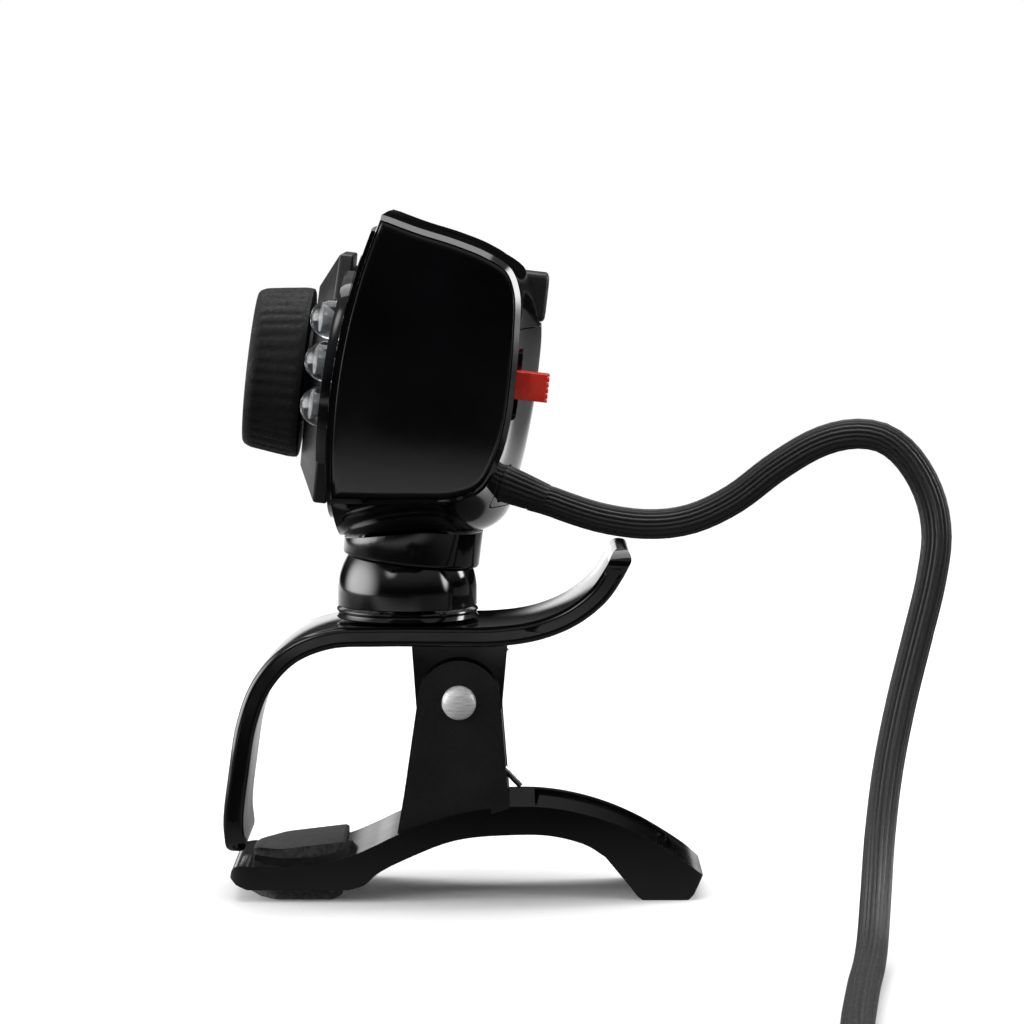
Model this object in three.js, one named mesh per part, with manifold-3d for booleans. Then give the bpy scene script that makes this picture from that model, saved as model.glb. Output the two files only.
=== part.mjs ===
// Clip-on desk webcam: a pitched camera head on a ball neck, a sprung clip that doubles as a stand,
// and a coiled lead with its plug. Millimetres, +Z up, the lens looks along -Y.
// The floor is Z = 0, under the foot pad of the clip.
import * as THREE from 'three';
import { mergeVertices } from 'three/addons/utils/BufferGeometryUtils.js';
import Module from 'manifold-3d';

const wasm = await Module();
wasm.setup();

// Neck: the ball's centre is the pivot of the head, and the origin of the head's own frame.
const neck = { y: -6.2, z: 33, ballRadius: 7.6, wall: 1.6, socketGap: 0.35 };
const headPitch = THREE.MathUtils.degToRad(6.5);

// Head, in its own frame: origin at the ball's centre, front along -Y.
const head = {
  rimX: 19.4,
  sideX: 20.2,
  rimBevel: 0.55,
  edgeBevel: 0.1,
  wall: 1.5,
  cavityX: 18.2,
  frontY: -9.45,
  frontBow: 0.0073,
  frontMiddleZ: 21,
  lensZ: 22.3,
};
const fitGap = 0.3;

// Side outline of the head from the visor's tip over the top and down the back: [y, z].
const middleOutline = [
  [-6.6, 40.7], [-3, 39.9], [1.5, 39], [5.4, 37.9], [8.6, 36.4], [10.4, 33.8], [11.3, 30], [11.5, 25.5],
  [11.3, 19.5], [10.8, 14.5], [9.9, 9.8], [7.6, 7.7], [1, 6.7], [-4.5, 5.7], [-7.7, 5.3],
];
const rimOutline = [
  [-6.4, 40.6], [-2.8, 39.7], [1.3, 38.9], [4.8, 37.9], [7.2, 36.6], [8.4, 34.2], [8.8, 30.5], [9, 25.5],
  [8.9, 20.5], [8.3, 16.8], [6.9, 13.5], [4.2, 11.9], [-0.5, 11.2], [-5, 10.7], [-8.4, 10.4],
];

// Lens group, along the lens axis.
const lens = { ringRear: -13.4, ringFront: -19.5, ringRadius: 9.2, barrelRadius: 5, collarRear: -9.6 };
const led = { radius: 2.15, domeY: -11, play: 0.15 };
const ledSeats = [[12.5, 6.7], [14.6, 2.3], [14.4, -2.4]];

// Clip.
const clip = { halfWidth: 8, stripTop: 29.9, stripThick: 2.2, tailHalfWidth: 6.6 };
const hinge = { y: -0.5, z: 21.6, pinRadius: 1.25, headRadius: 1.85, earRadius: 4.5 };
const upperEar = { inner: 3.4, outer: 4.9 };
const lowerEar = { inner: 5.2, outer: 6.7 };

// Lead.
const lead = {
  radius: 1.6,
  sides: 8,
  turns: 5,
  layers: 2,
  coilX: 120,
  coilY: 10.4,
  innerTurn: 11,
  splitAt: 0.094,
};
const bootExit = { x: 10.5, y: 8.3, z: 13.9, slope: THREE.MathUtils.degToRad(14.5) };

// ---------- materials ----------

const finishes = {
  gloss: { color: 0x060607, roughness: 0.12, metalness: 0 },
  satin: { color: 0x0b0b0c, roughness: 0.45, metalness: 0 },
  rubber: { color: 0x141416, roughness: 0.8, metalness: 0 },
  foam: { color: 0x1a1a1b, roughness: 0.95, metalness: 0 },
  red: { color: 0xd8261c, roughness: 0.35, metalness: 0 },
  clear: { color: 0xe6ecf0, roughness: 0.05, metalness: 0, transparent: true, opacity: 0.5 },
  glass: { color: 0x2a2440, roughness: 0.03, metalness: 0, transparent: true, opacity: 0.6 },
  steel: { color: 0xc9cacc, roughness: 0.25, metalness: 1 },
  board: { color: 0x14522c, roughness: 0.5, metalness: 0 },
  chip: { color: 0x1c1c20, roughness: 0.4, metalness: 0 },
};

function material(name) {
  return new THREE.MeshStandardMaterial(finishes[name]);
}

function addPart(group, name, geometry, finish) {
  const mesh = new THREE.Mesh(geometry, material(finish));
  mesh.name = name;
  group.add(mesh);
  return mesh;
}

// ---------- solids ----------

// The positions alone, so that shared corners can be merged.
function bareGeometry(geometry) {
  const bare = geometry.clone();
  bare.deleteAttribute('normal');
  bare.deleteAttribute('uv');
  return bare;
}

function toSolid(geometry) {
  const merged = mergeVertices(bareGeometry(geometry), 1e-4);
  const mesh = new wasm.Mesh({
    numProp: 3,
    vertProperties: new Float32Array(merged.attributes.position.array),
    triVerts: new Uint32Array(merged.index.array),
  });
  return new wasm.Manifold(mesh);
}

function toGeometry(solid) {
  const mesh = solid.getMesh();
  const geometry = new THREE.BufferGeometry();
  geometry.setAttribute('position', new THREE.BufferAttribute(new Float32Array(mesh.vertProperties), 3));
  geometry.setIndex(new THREE.BufferAttribute(new Uint32Array(mesh.triVerts), 1));
  return geometry;
}

function cut(geometry, ...tools) {
  let solid = toSolid(geometry);
  for (const tool of tools) {
    solid = solid.subtract(toSolid(tool));
  }
  return toGeometry(solid);
}

function join(geometry, ...others) {
  let solid = toSolid(geometry);
  for (const other of others) {
    solid = solid.add(toSolid(other));
  }
  return toGeometry(solid);
}

function common(geometry, other) {
  return toGeometry(toSolid(geometry).intersect(toSolid(other)));
}

// Vertices and faces to a closed geometry whose faces point out.
function closedGeometry(vertices, faces) {
  let volume = 0;
  for (const [a, b, c] of faces) {
    const cross = new THREE.Vector3().crossVectors(vertices[b], vertices[c]);
    volume += vertices[a].dot(cross);
  }
  const index = faces.flatMap(([a, b, c]) => (volume < 0 ? [a, c, b] : [a, b, c]));
  const geometry = new THREE.BufferGeometry().setFromPoints(vertices);
  geometry.setIndex(index);
  return geometry;
}

// Rings of equal length joined one after the other, with a fan over each end.
function loft(rings) {
  const count = rings[0].length;
  const vertices = rings.flat();
  const faces = [];
  for (let ring = 0; ring < rings.length - 1; ring++) {
    for (let i = 0; i < count; i++) {
      const a = ring * count + i;
      const b = ring * count + ((i + 1) % count);
      faces.push([a, b, b + count], [a, b + count, a + count]);
    }
  }
  for (const [ring, flip] of [[0, true], [rings.length - 1, false]]) {
    const centre = new THREE.Vector3();
    rings[ring].forEach((point) => centre.addScaledVector(point, 1 / count));
    const hub = vertices.push(centre) - 1;
    for (let i = 0; i < count; i++) {
      const a = ring * count + i;
      const b = ring * count + ((i + 1) % count);
      faces.push(flip ? [hub, b, a] : [hub, a, b]);
    }
  }
  return closedGeometry(vertices, faces);
}

// A [y, z] outline extruded along X.
function alongX(outline, low, high) {
  const shape = new THREE.Shape(outline.map(([y, z]) => new THREE.Vector2(y, z)));
  const geometry = new THREE.ExtrudeGeometry(shape, { depth: high - low, bevelEnabled: false });
  const x = new THREE.Vector3(1, 0, 0);
  const y = new THREE.Vector3(0, 1, 0);
  const z = new THREE.Vector3(0, 0, 1);
  geometry.applyMatrix4(new THREE.Matrix4().makeBasis(y, z, x));
  return geometry.translate(low, 0, 0);
}

// An [x, z] outline extruded along Y, from yFront (low) to yBack (high).
function alongY(outline, yFront, yBack) {
  const shape = new THREE.Shape(outline.map(([x, z]) => new THREE.Vector2(x, z)));
  const geometry = new THREE.ExtrudeGeometry(shape, { depth: yBack - yFront, bevelEnabled: false });
  return geometry.rotateX(Math.PI / 2).translate(0, yBack, 0);
}

// An [x, y] outline extruded along Z.
function alongZ(outline, low, high) {
  const shape = new THREE.Shape(outline.map(([x, y]) => new THREE.Vector2(x, y)));
  return new THREE.ExtrudeGeometry(shape, { depth: high - low, bevelEnabled: false }).translate(0, 0, low);
}

function block(xLow, xHigh, yLow, yHigh, zLow, zHigh) {
  const geometry = new THREE.BoxGeometry(xHigh - xLow, yHigh - yLow, zHigh - zLow);
  return geometry.translate((xLow + xHigh) / 2, (yLow + yHigh) / 2, (zLow + zHigh) / 2);
}

// A [radius, height] profile turned about Z. The profile closes on itself or starts and ends on the axis.
function turnedZ(profile, segments = 32) {
  const onAxis = profile[0][0] === 0;
  const points = profile.map(([r, h]) => new THREE.Vector2(r, h));
  if (!onAxis) {
    points.push(points[0].clone());
  }
  const geometry = new THREE.LatheGeometry(points, segments).rotateX(Math.PI / 2);
  const merged = mergeVertices(bareGeometry(geometry), 1e-4);
  return orientOut(merged);
}

// Drops the flat triangles at the axis and turns the faces outwards.
function orientOut(geometry) {
  const vertices = [];
  const position = geometry.attributes.position;
  for (let i = 0; i < position.count; i++) {
    vertices.push(new THREE.Vector3().fromBufferAttribute(position, i));
  }
  const faces = [];
  for (let i = 0; i < geometry.index.count; i += 3) {
    const face = [0, 1, 2].map((corner) => geometry.index.getX(i + corner));
    if (new Set(face).size === 3) {
      faces.push(face);
    }
  }
  return closedGeometry(vertices, faces);
}

// The same, turned about Y: heights run along +Y.
function turnedY(profile, segments = 32) {
  return turnedZ(profile, segments).rotateX(-Math.PI / 2);
}

function turnedX(profile, segments = 32) {
  return turnedZ(profile, segments).rotateY(Math.PI / 2);
}

function tube(points, radius, steps, sides = 8) {
  const section = new THREE.Shape();
  for (let i = 0; i < sides; i++) {
    const angle = (2 * Math.PI * i) / sides;
    const [x, y] = [radius * Math.cos(angle), radius * Math.sin(angle)];
    if (i === 0) {
      section.moveTo(x, y);
    } else {
      section.lineTo(x, y);
    }
  }
  const path = new THREE.CatmullRomCurve3(points.map((p) => new THREE.Vector3(...p)));
  return new THREE.ExtrudeGeometry(section, { steps, extrudePath: path, bevelEnabled: false });
}

// Points of an open smooth curve through [a, b] pairs.
function smooth(pairs, steps) {
  const curve = new THREE.CatmullRomCurve3(pairs.map(([a, b]) => new THREE.Vector3(a, b, 0)));
  return curve.getPoints(steps).map((p) => [p.x, p.y]);
}

// Moves the points of an open outline to its left by distance.
function offsetOutline(points, distance) {
  return points.map(([a, b], i) => {
    const before = points[Math.max(i - 1, 0)];
    const after = points[Math.min(i + 1, points.length - 1)];
    const along = new THREE.Vector2(after[0] - before[0], after[1] - before[1]).normalize();
    return [a - along.y * distance, b + along.x * distance];
  });
}

// A closed [a, b] polygon with its corners rounded by radius.
function roundCorners(corners, radius, steps = 4) {
  const outline = [];
  corners.forEach((corner, i) => {
    const here = new THREE.Vector2(...corner);
    const previous = new THREE.Vector2(...corners[(i + corners.length - 1) % corners.length]);
    const next = new THREE.Vector2(...corners[(i + 1) % corners.length]);
    const start = here.clone().add(previous.sub(here).setLength(radius));
    const end = here.clone().add(next.sub(here).setLength(radius));
    const curve = new THREE.QuadraticBezierCurve(start, here, end);
    curve.getPoints(steps).forEach((p) => outline.push([p.x, p.y]));
  });
  return outline;
}

// ---------- head shell ----------

// Front edge of the shell at a height: the front face bows forward in the middle.
function frontEdge(z) {
  return head.frontY + head.frontBow * (z - head.frontMiddleZ) ** 2;
}

// Open side outline of the head at x, from the visor over the top and back to the underside.
function headOutline(x, steps = 24) {
  const across = Math.min(Math.abs(x) / head.rimX, 1);
  const dome = 0.5 + 0.5 * Math.cos(Math.PI * across);
  const arch = 1 - across * across;
  const last = middleOutline.length - 1;
  const pairs = middleOutline.map(([y, z], i) => {
    const under = THREE.MathUtils.smoothstep(i, last - 6, last - 2);
    const weight = THREE.MathUtils.lerp(dome, arch, under);
    const [rimY, rimZ] = rimOutline[i];
    return [THREE.MathUtils.lerp(rimY, y, weight), THREE.MathUtils.lerp(rimZ, z, weight)];
  });
  return smooth(pairs, steps);
}

// Closed outline at x, drawn in by inset all round, or by frontInset at the front edge.
function headRing(x, inset, frontInset = inset) {
  const open = offsetOutline(headOutline(x), -inset);
  const [top, bottom] = [open[0][1], open[open.length - 1][1]];
  const edge = [];
  const edgeSteps = 5;
  for (let i = 0; i <= edgeSteps; i++) {
    const z = THREE.MathUtils.lerp(bottom, top, i / edgeSteps);
    edge.push([frontEdge(z) + frontInset, z]);
  }
  return [...open.slice(1, -1), ...edge];
}

function ringAt(x, outline) {
  return outline.map(([y, z]) => new THREE.Vector3(x, y, z));
}

function headBody() {
  const stations = [0, 5, 10, 14.5, head.rimX];
  const right = stations.map((x) => ringAt(x, headRing(x, 0)));
  right.push(ringAt(head.sideX, headRing(head.sideX, head.rimBevel, head.edgeBevel)));
  const left = right.slice(1).reverse().map((ring) => ring.map((p) => new THREE.Vector3(-p.x, p.y, p.z)));
  return loft([...left, ...right]);
}

function headCavity() {
  const openFront = -14;
  const rings = [-head.cavityX, -12, -6, 0, 6, 12, head.cavityX].map((x) => {
    const open = offsetOutline(headOutline(x, 16), -head.wall);
    const [top, bottom] = [open[0][1], open[open.length - 1][1]];
    return ringAt(x, [...open, [openFront, bottom], [openFront, top]]);
  });
  return loft(rings);
}

const doorOutline = [[-17.6, 30.4], [-17.6, 17.5], [-12.5, 11], [12.5, 11], [17.6, 17.5], [17.6, 30.4]];

function doorPrism(grow) {
  const middleZ = 20.7;
  const outline = doorOutline.map(([x, z]) => [x + Math.sign(x) * grow, z + Math.sign(z - middleZ) * grow]);
  return alongY(outline, 3.5, 14);
}

function buttonOpening() {
  return block(-3.9, 3.9, 6.2, 13, 30.5, 36.3);
}

function sliderOpening() {
  return block(13.5, 17.5, 5, 13, 20.8, 28.3);
}

function bootOpening() {
  const hole = turnedY([[0, -5], [2.2, -5], [2.2, 6], [0, 6]], 16);
  return hole.rotateX(-bootExit.slope).translate(bootExit.x, bootExit.y, bootExit.z);
}

const coverScrews = [[-14.2, 26.5], [-9.5, 14.5]];

function boreY([x, z], radius, sides = 16) {
  return turnedY([[0, -25], [radius, -25], [radius, 20], [0, 20]], sides).translate(x, 0, z);
}

function panelOutline(inset, frontInset) {
  return headRing(head.sideX, inset, frontInset);
}

function socketSphere(grow) {
  const radius = neck.ballRadius + neck.socketGap + grow;
  return new THREE.SphereGeometry(radius, 24, 14);
}

function pivotHole(radius) {
  return turnedZ([[0, -2], [radius, -2], [radius, 14], [0, 14]], 16);
}

function frontShell() {
  const [bossRadius, bossLow, bossHigh] = [4.6, 5.6, 9.6];
  const boss = turnedZ([[0, bossLow], [bossRadius, bossLow], [bossRadius, bossHigh], [0, bossHigh]], 24);
  let shell = join(cut(headBody(), headCavity()), common(boss, headBody()));
  const recess = panelOutline(0.7, 0.2);
  shell = cut(
    shell,
    doorPrism(0),
    buttonOpening(),
    alongX(recess, 19, 22),
    alongX(recess, -22, -19),
    socketSphere(0),
    pivotHole(1.5),
  );
  return shell;
}

function rearCover() {
  const wall = common(cut(headBody(), headCavity()), doorPrism(-fitGap));
  return cut(wall, sliderOpening(), bootOpening(), ...coverScrews.map((seat) => boreY(seat, 1.4)));
}

function sidePanel(side) {
  const [near, far] = [19.3, 20.5];
  const outline = panelOutline(1, 0.5);
  return side > 0 ? alongX(outline, near, far) : alongX(outline, -far, -near);
}

// ---------- front of the head ----------

function plateBulge(x, z) {
  const acrossX = 1 - (x / 20) ** 2;
  const acrossZ = 1 - ((z - head.lensZ) / 24) ** 2;
  return 0.35 + 0.9 * acrossX * acrossZ;
}

function frontPlate() {
  const [columns, rows, halfWidth, top, thick] = [8, 8, 17.8, 38.8, 1.4];
  const rings = [];
  for (let i = 0; i <= columns; i++) {
    const x = THREE.MathUtils.lerp(-halfWidth, halfWidth, i / columns);
    const outline = headOutline(x);
    const bottom = outline[outline.length - 1][1] + head.wall + fitGap;
    const front = [];
    const back = [];
    for (let j = 0; j <= rows; j++) {
      const z = THREE.MathUtils.lerp(bottom, top, j / rows);
      const y = frontEdge(z) - plateBulge(x, z);
      front.push(new THREE.Vector3(x, y, z));
      back.push(new THREE.Vector3(x, y + thick, z));
    }
    rings.push([...front, ...back.reverse()]);
  }
  const plate = loft(rings);
  const lensHole = boreY([0, head.lensZ], 7.2);
  const collarSeat = alongY(collarOutline(fitGap), -14, lens.collarRear + fitGap);
  const seats = ledPositions().map((seat) => boreY(seat, led.radius + led.play, 14));
  return cut(plate, lensHole, collarSeat, ...seats, boreY([0, 37.3], 0.7, 8));
}

// Long octagon around the lens axis: taller than it is wide, so that the lamps stand beside it.
function collarOutline(grow, scale = 1) {
  const [w, h] = [10.2 * scale + grow, 13.4 * scale + grow];
  const [cornerX, cornerZ] = [5.6 * scale, 5 * scale];
  const z = head.lensZ;
  return [
    [w, z - cornerZ], [w, z + cornerZ], [cornerX, z + h], [-cornerX, z + h],
    [-w, z + cornerZ], [-w, z - cornerZ], [-cornerX, z - h], [cornerX, z - h],
  ];
}

function lensCollar() {
  const ring = (outline, y) => outline.map(([x, z]) => new THREE.Vector3(x, y, z));
  const body = loft([
    ring(collarOutline(0), lens.collarRear),
    ring(collarOutline(0), -11.2),
    ring(collarOutline(0, 0.72), -12.9),
  ]);
  return cut(body, boreY([0, head.lensZ], 5.6, 32));
}

function atLens(geometry) {
  return geometry.translate(0, 0, head.lensZ);
}

function focusRing() {
  const profile = [
    [5.3, lens.ringRear], [lens.ringRadius, lens.ringRear], [9.25, -15], [8.65, -18.9], [8.1, lens.ringFront],
    [6.7, lens.ringFront], [5.3, -17.5],
  ];
  return atLens(turnedY(profile, 32));
}

function lensBarrel() {
  const r = lens.barrelRadius;
  const profile = [[r, -4], [r, -17.2], [4.4, -17.2], [2.7, -15.4], [2.7, -15.1], [4, -15.1], [4, -4]];
  return atLens(turnedY(profile, 24));
}

function lensGlass() {
  return atLens(turnedY([[0, -14.9], [2, -14.75], [3.7, -14.3], [3.7, -13.6], [2, -13.3], [0, -13.2]], 24));
}

function lensHolder() {
  return atLens(turnedY([[5.3, -9.2], [6.8, -9.2], [6.8, -2], [8.2, -2], [8.2, 0.6], [5.3, 0.6]], 20));
}

function infraredFilter() {
  return atLens(turnedY([[0, -3.4], [4.9, -3.4], [4.9, -2.9], [0, -2.9]], 24));
}

function ledPositions() {
  return [1, -1].flatMap((side) => ledSeats.map(([x, up]) => [side * x, head.lensZ + up]));
}

function ledLamp([x, z]) {
  const profile = [[0, -6.9], [led.radius, -6.9]];
  const domeSteps = 4;
  for (let i = 0; i <= domeSteps; i++) {
    const angle = (Math.PI / 2) * (i / domeSteps);
    const radius = i === domeSteps ? 0 : led.radius * Math.cos(angle);
    profile.push([radius, led.domeY - led.radius * Math.sin(angle)]);
  }
  return turnedY(profile, 14).translate(x, 0, z);
}

// Raised crescent that frames one column of lamps on its outer side.
function ledTrim(side) {
  const outer = smooth([[9.4, 34.2], [13.2, 33.4], [16, 31.7], [17.8, 25], [17.6, 19], [13.3, 13.8]], 12);
  const inner = smooth([[9.6, 33.4], [12.9, 32.6], [15.3, 31.2], [17.1, 25], [16.9, 19.2], [13, 14.6]], 12);
  const outline = [...outer, ...inner.reverse()].map(([x, z]) => [side * x, z]);
  const ridge = alongY(side > 0 ? outline : outline.reverse(), -11, -7);
  return cut(ridge, solidPlate().translate(0, -fitGap, 0));
}

// The plate without its holes, thick enough to trim what stands on it.
function solidPlate() {
  const rings = [];
  for (let i = 0; i <= 8; i++) {
    const x = THREE.MathUtils.lerp(-19, 19, i / 8);
    const front = [];
    const back = [];
    for (let j = 0; j <= 8; j++) {
      const z = THREE.MathUtils.lerp(5, 40, j / 8);
      front.push(new THREE.Vector3(x, frontEdge(z) - plateBulge(x, z), z));
      back.push(new THREE.Vector3(x, 0, z));
    }
    rings.push([...front, ...back.reverse()]);
  }
  return loft(rings);
}

// ---------- inside the head ----------

function mainBoard() {
  return block(-13, 13, 0.9, 2.1, 12.2, 33);
}

function imageSensor() {
  return block(-3.2, 3.2, -0.5, 0.6, head.lensZ - 3.2, head.lensZ + 3.2);
}

function ledBoard() {
  const board = block(-16.6, 16.6, -6.6, -5.6, 15.5, 33);
  return cut(board, boreY([0, head.lensZ], 7.4));
}

function microphone() {
  return turnedY([[0, -6.4], [2, -6.4], [2, -4.4], [0, -4.4]], 12).translate(0, 0, 35.9);
}

function buttonSwitch() {
  const body = block(-2.2, 2.2, 2.4, 4.9, 30.3, 34.7);
  return join(body, turnedY([[0, 4.5], [0.9, 4.5], [0.9, 5.6], [0, 5.6]], 12).translate(0, 0, 32.5));
}

function slideSwitch() {
  return block(12.6, 17.8, 2.4, 5.6, 20.9, 28.1);
}

function snapshotButton() {
  const cap = block(-3.6, 3.6, 9.3, 11.4, 30.8, 36);
  return join(cap, block(-1.8, 1.8, 6.2, 9.5, 31, 34));
}

function ledSlider() {
  return join(block(13.8, 17.2, 9.1, 12.5, 23, 26), block(14.6, 16.4, 5.9, 9.3, 23.6, 25.5));
}

function coverScrew([x, z]) {
  return turnedY([[0, 3], [0.7, 3], [0.7, 7.4], [1.1, 7.8], [1.1, 8.3], [0, 8.3]], 12).translate(x, 0, z);
}

function cableBoot() {
  const profile = [[0, -3.6], [2.9, -3.6], [2.9, -2.4], [2, -2.2], [1.95, 1], [1.62, 5.5], [0, 5.5]];
  return turnedY(profile, 16).rotateX(-bootExit.slope).translate(bootExit.x, bootExit.y, bootExit.z);
}

// ---------- neck ----------

function headCollar() {
  const [radius, rim, top] = [7.45, 3.45, 9.5];
  const profile = [[0, rim], [radius - 0.1, rim], [radius, rim + 0.2], [radius + 0.1, top], [0, top]];
  const skirt = turnedZ(profile, 28);
  const below = headBody().translate(0, 0, -fitGap);
  return cut(skirt, socketSphere(0), below, headBody());
}

function pivotScrew() {
  return turnedZ([[0, 3.4], [1.2, 3.4], [1.2, 9.9], [2.4, 9.9], [2.4, 10.8], [1.6, 11.3], [0, 11.3]], 20);
}

function pivotNut() {
  return turnedZ([[1.8, 3.6], [2.6, 3.6], [2.6, 4.6], [1.8, 4.6]], 6);
}

function neckBall() {
  const [outer, inner] = [neck.ballRadius, neck.ballRadius - neck.wall];
  const profile = [];
  const steps = 7;
  for (let i = 0; i <= steps; i++) {
    const angle = (Math.PI / 2) * (i / steps);
    profile.push([i === 0 ? 0 : outer * Math.sin(angle), outer * Math.cos(angle)]);
  }
  profile.push([outer, -1.55], [3, -1.55], [3, -3.9], [1.6, -3.9], [1.6, -1], [5.6, -0.2]);
  for (let i = steps; i >= 0; i--) {
    const angle = (Math.PI / 2) * (i / steps);
    profile.push([i === 0 ? 0 : inner * Math.sin(angle), inner * Math.cos(angle)]);
  }
  const slot = block(-1.55, 1.55, -4, 4.7, 3, 9);
  return cut(turnedZ(profile, 28), slot);
}

function neckScrew() {
  return turnedZ([[0, -5.2], [2.6, -5.2], [2.6, -4.2], [1.3, -4.2], [1.3, -1.6], [0, -1.6]], 20);
}

function neckBase() {
  return turnedZ([[3.4, -2.85], [7.75, -2.85], [7.5, -2.35], [7.75, -1.85], [3.4, -1.85]], 28);
}

// ---------- clip ----------

// Centre line of the upper jaw from its tip, up round the front bend, along the top and out to the lever.
const upperLine = [
  [-24.6, 6.2], [-24.8, 8.7], [-24.2, 14], [-23.3, 19.4], [-21.7, 23.5], [-18.7, 26.8], [-14.6, 28.5],
  [-9, 28.8], [-2, 28.8], [3.6, 28.85], [7.9, 29.5], [11.6, 31], [14.5, 33.3], [16.1, 35.6], [16.9, 37.1],
];

// Points of the half circle that closes a strip at its end, on the side away from before.
function roundEnd(end, before, radius) {
  const forward = Math.atan2(end[1] - before[1], end[0] - before[0]);
  return [60, 30, 0, -30, -60].map((degrees) => {
    const angle = forward + THREE.MathUtils.degToRad(degrees);
    return [end[0] + radius * Math.cos(angle), end[1] + radius * Math.sin(angle)];
  });
}

function upperJawStrip() {
  const line = smooth(upperLine, 30);
  const half = clip.stripThick / 2;
  const [first, last] = [line[0], line[line.length - 1]];
  const outline = [
    ...offsetOutline(line, half),
    ...roundEnd(last, line[line.length - 2], half),
    ...offsetOutline(line, -half).reverse(),
    ...roundEnd(first, line[1], half),
  ];
  const strip = alongX(outline, -clip.halfWidth, clip.halfWidth);
  const w = clip.halfWidth;
  const faceOutline = roundCorners([[-w, 5], [w, 5], [w, 38.3], [-w, 38.3]], 4);
  return common(strip, alongY(faceOutline, -28, 22));
}

function arcAbout(centreY, centreZ, radius, fromDeg, toDeg, steps) {
  const points = [];
  for (let i = 0; i <= steps; i++) {
    const angle = THREE.MathUtils.degToRad(THREE.MathUtils.lerp(fromDeg, toDeg, i / steps));
    points.push([centreY + radius * Math.cos(angle), centreZ + radius * Math.sin(angle)]);
  }
  return points;
}

function hingeHole(radius) {
  return turnedX([[0, -12], [radius, -12], [radius, 12], [0, 12]], 20).translate(0, hinge.y, hinge.z);
}

function upperJaw() {
  const outline = [
    [-5.7, 28.5], ...arcAbout(hinge.y, hinge.z, hinge.earRadius + 0.2, 180, 360, 12), [4.8, 28.5],
  ];
  const ears = [1, -1].map((side) => {
    const [low, high] = side > 0 ? [upperEar.inner, upperEar.outer] : [-upperEar.outer, -upperEar.inner];
    return alongX(outline, low, high);
  });
  const spigotHole = turnedZ([[0, 26], [3.4, 26], [3.4, 31], [0, 31]], 24).translate(0, neck.y, 0);
  return cut(join(upperJawStrip(), ...ears), hingeHole(hinge.pinRadius + fitGap), spigotHole);
}

const lowerTop = [
  [-25.2, 3], [-24.6, 3.8], [-21.3, 3.9], [-16.3, 4.15], [-12.8, 4.85], [-9.8, 6.1], [-7.3, 7.3], [-3.5, 8.7],
  [0.5, 9.7], [5, 10.2], [9.2, 10.1], [14.1, 9.1], [18.9, 7.2], [24, 4.1], [25.9, 2.6],
];
const lowerUnder = [
  [15.3, 4.7], [13.2, 6], [9.4, 7], [5, 7.1], [-0.9, 6.6], [-5.5, 5], [-9.2, 3.2], [-10.7, 1.9],
  [-12.4, 1.35],
];

function lowerJaw() {
  const tail = [[24.9, 0.6], [24.3, 0], [19.3, 0], [18.8, 0.4], [17.2, 2.4]];
  const nose = [[-23.4, 1.35], [-24.6, 1.8], [-25.3, 2.4]];
  const outline = [...smooth(lowerTop, 26), ...tail, ...smooth(lowerUnder, 14), ...nose];
  const [w, t] = [clip.halfWidth, clip.tailHalfWidth];
  const corners = [[-w, -25.4], [w, -25.4], [w, -8], [t, 3], [t, 26.4], [-t, 26.4], [-t, 3], [-w, -8]];
  const plan = roundCorners(corners, 3);
  const strip = common(alongX(outline, -w, w), alongZ(plan, -1, 14));
  const flank = [
    ...arcAbout(hinge.y, hinge.z, hinge.earRadius, 0, 180, 12),
    [-6.5, 11.2], [-7.2, 7.2], [4.9, 8.8], [4.9, 10.3],
  ];
  const ears = [1, -1].map((side) => {
    const [low, high] = side > 0 ? [lowerEar.inner, lowerEar.outer] : [-lowerEar.outer, -lowerEar.inner];
    return common(alongX(flank, low, high), alongZ(plan, -1, 40));
  });
  return cut(join(strip, ...ears), hingeHole(hinge.pinRadius + fitGap));
}

function padPlan(halfWidth, front, back) {
  const corner = 3.2;
  return [
    [-halfWidth, back], [-halfWidth, front + corner], [-halfWidth + corner, front],
    [halfWidth - corner, front], [halfWidth, front + corner], [halfWidth, back],
  ].reverse();
}

function jawPad() {
  const under = [[-23, 4.25], [-16.3, 4.5], [-12.8, 5.25]];
  const outline = [...under, [-12.8, 6.1], [-13.2, 6.2], [-22.4, 5.1], [-23, 4.85]];
  return common(alongX(outline, -6, 6), alongZ(padPlan(5.6, -23, -12.8), 0, 10));
}

function footPad() {
  const outline = [[-23.6, 1.05], [-23.4, 0.5], [-22, 0.05], [-20, 0], [-14.4, 0], [-13.2, 0.5], [-13, 1.05]];
  return common(alongX(outline.reverse(), -6.4, 6.4), alongZ(padPlan(6.2, -23.6, -13), -1, 4));
}

function hingePin() {
  const [shaft, headRadius] = [hinge.pinRadius, hinge.headRadius];
  const half = [[shaft, 7], [headRadius, 7], [headRadius, 7.2], [headRadius * 0.7, 7.8], [0, 8.05]];
  const profile = [...half.map(([r, h]) => [r, -h]).reverse(), ...half];
  return turnedX(profile, 16).translate(0, hinge.y, hinge.z);
}

function torsionSpring() {
  const [coilRadius, wire, turns, halfLength, perTurn] = [2.35, 0.4, 4.5, 2.5, 8];
  const points = [[-halfLength, 4.6, 26.4], [-halfLength, 2.6, 24.6]];
  const steps = turns * perTurn;
  for (let i = 0; i <= steps; i++) {
    const angle = THREE.MathUtils.degToRad(40) - (2 * Math.PI * turns * i) / steps;
    const x = THREE.MathUtils.lerp(-halfLength, halfLength, i / steps);
    points.push([x, hinge.y + coilRadius * Math.cos(angle), hinge.z + coilRadius * Math.sin(angle)]);
  }
  points.push([halfLength, 0.2, 17.2], [halfLength, 4.2, 13.9], [halfLength, 6.2, 11.9]);
  return tube(points, wire, 66, 5);
}

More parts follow.
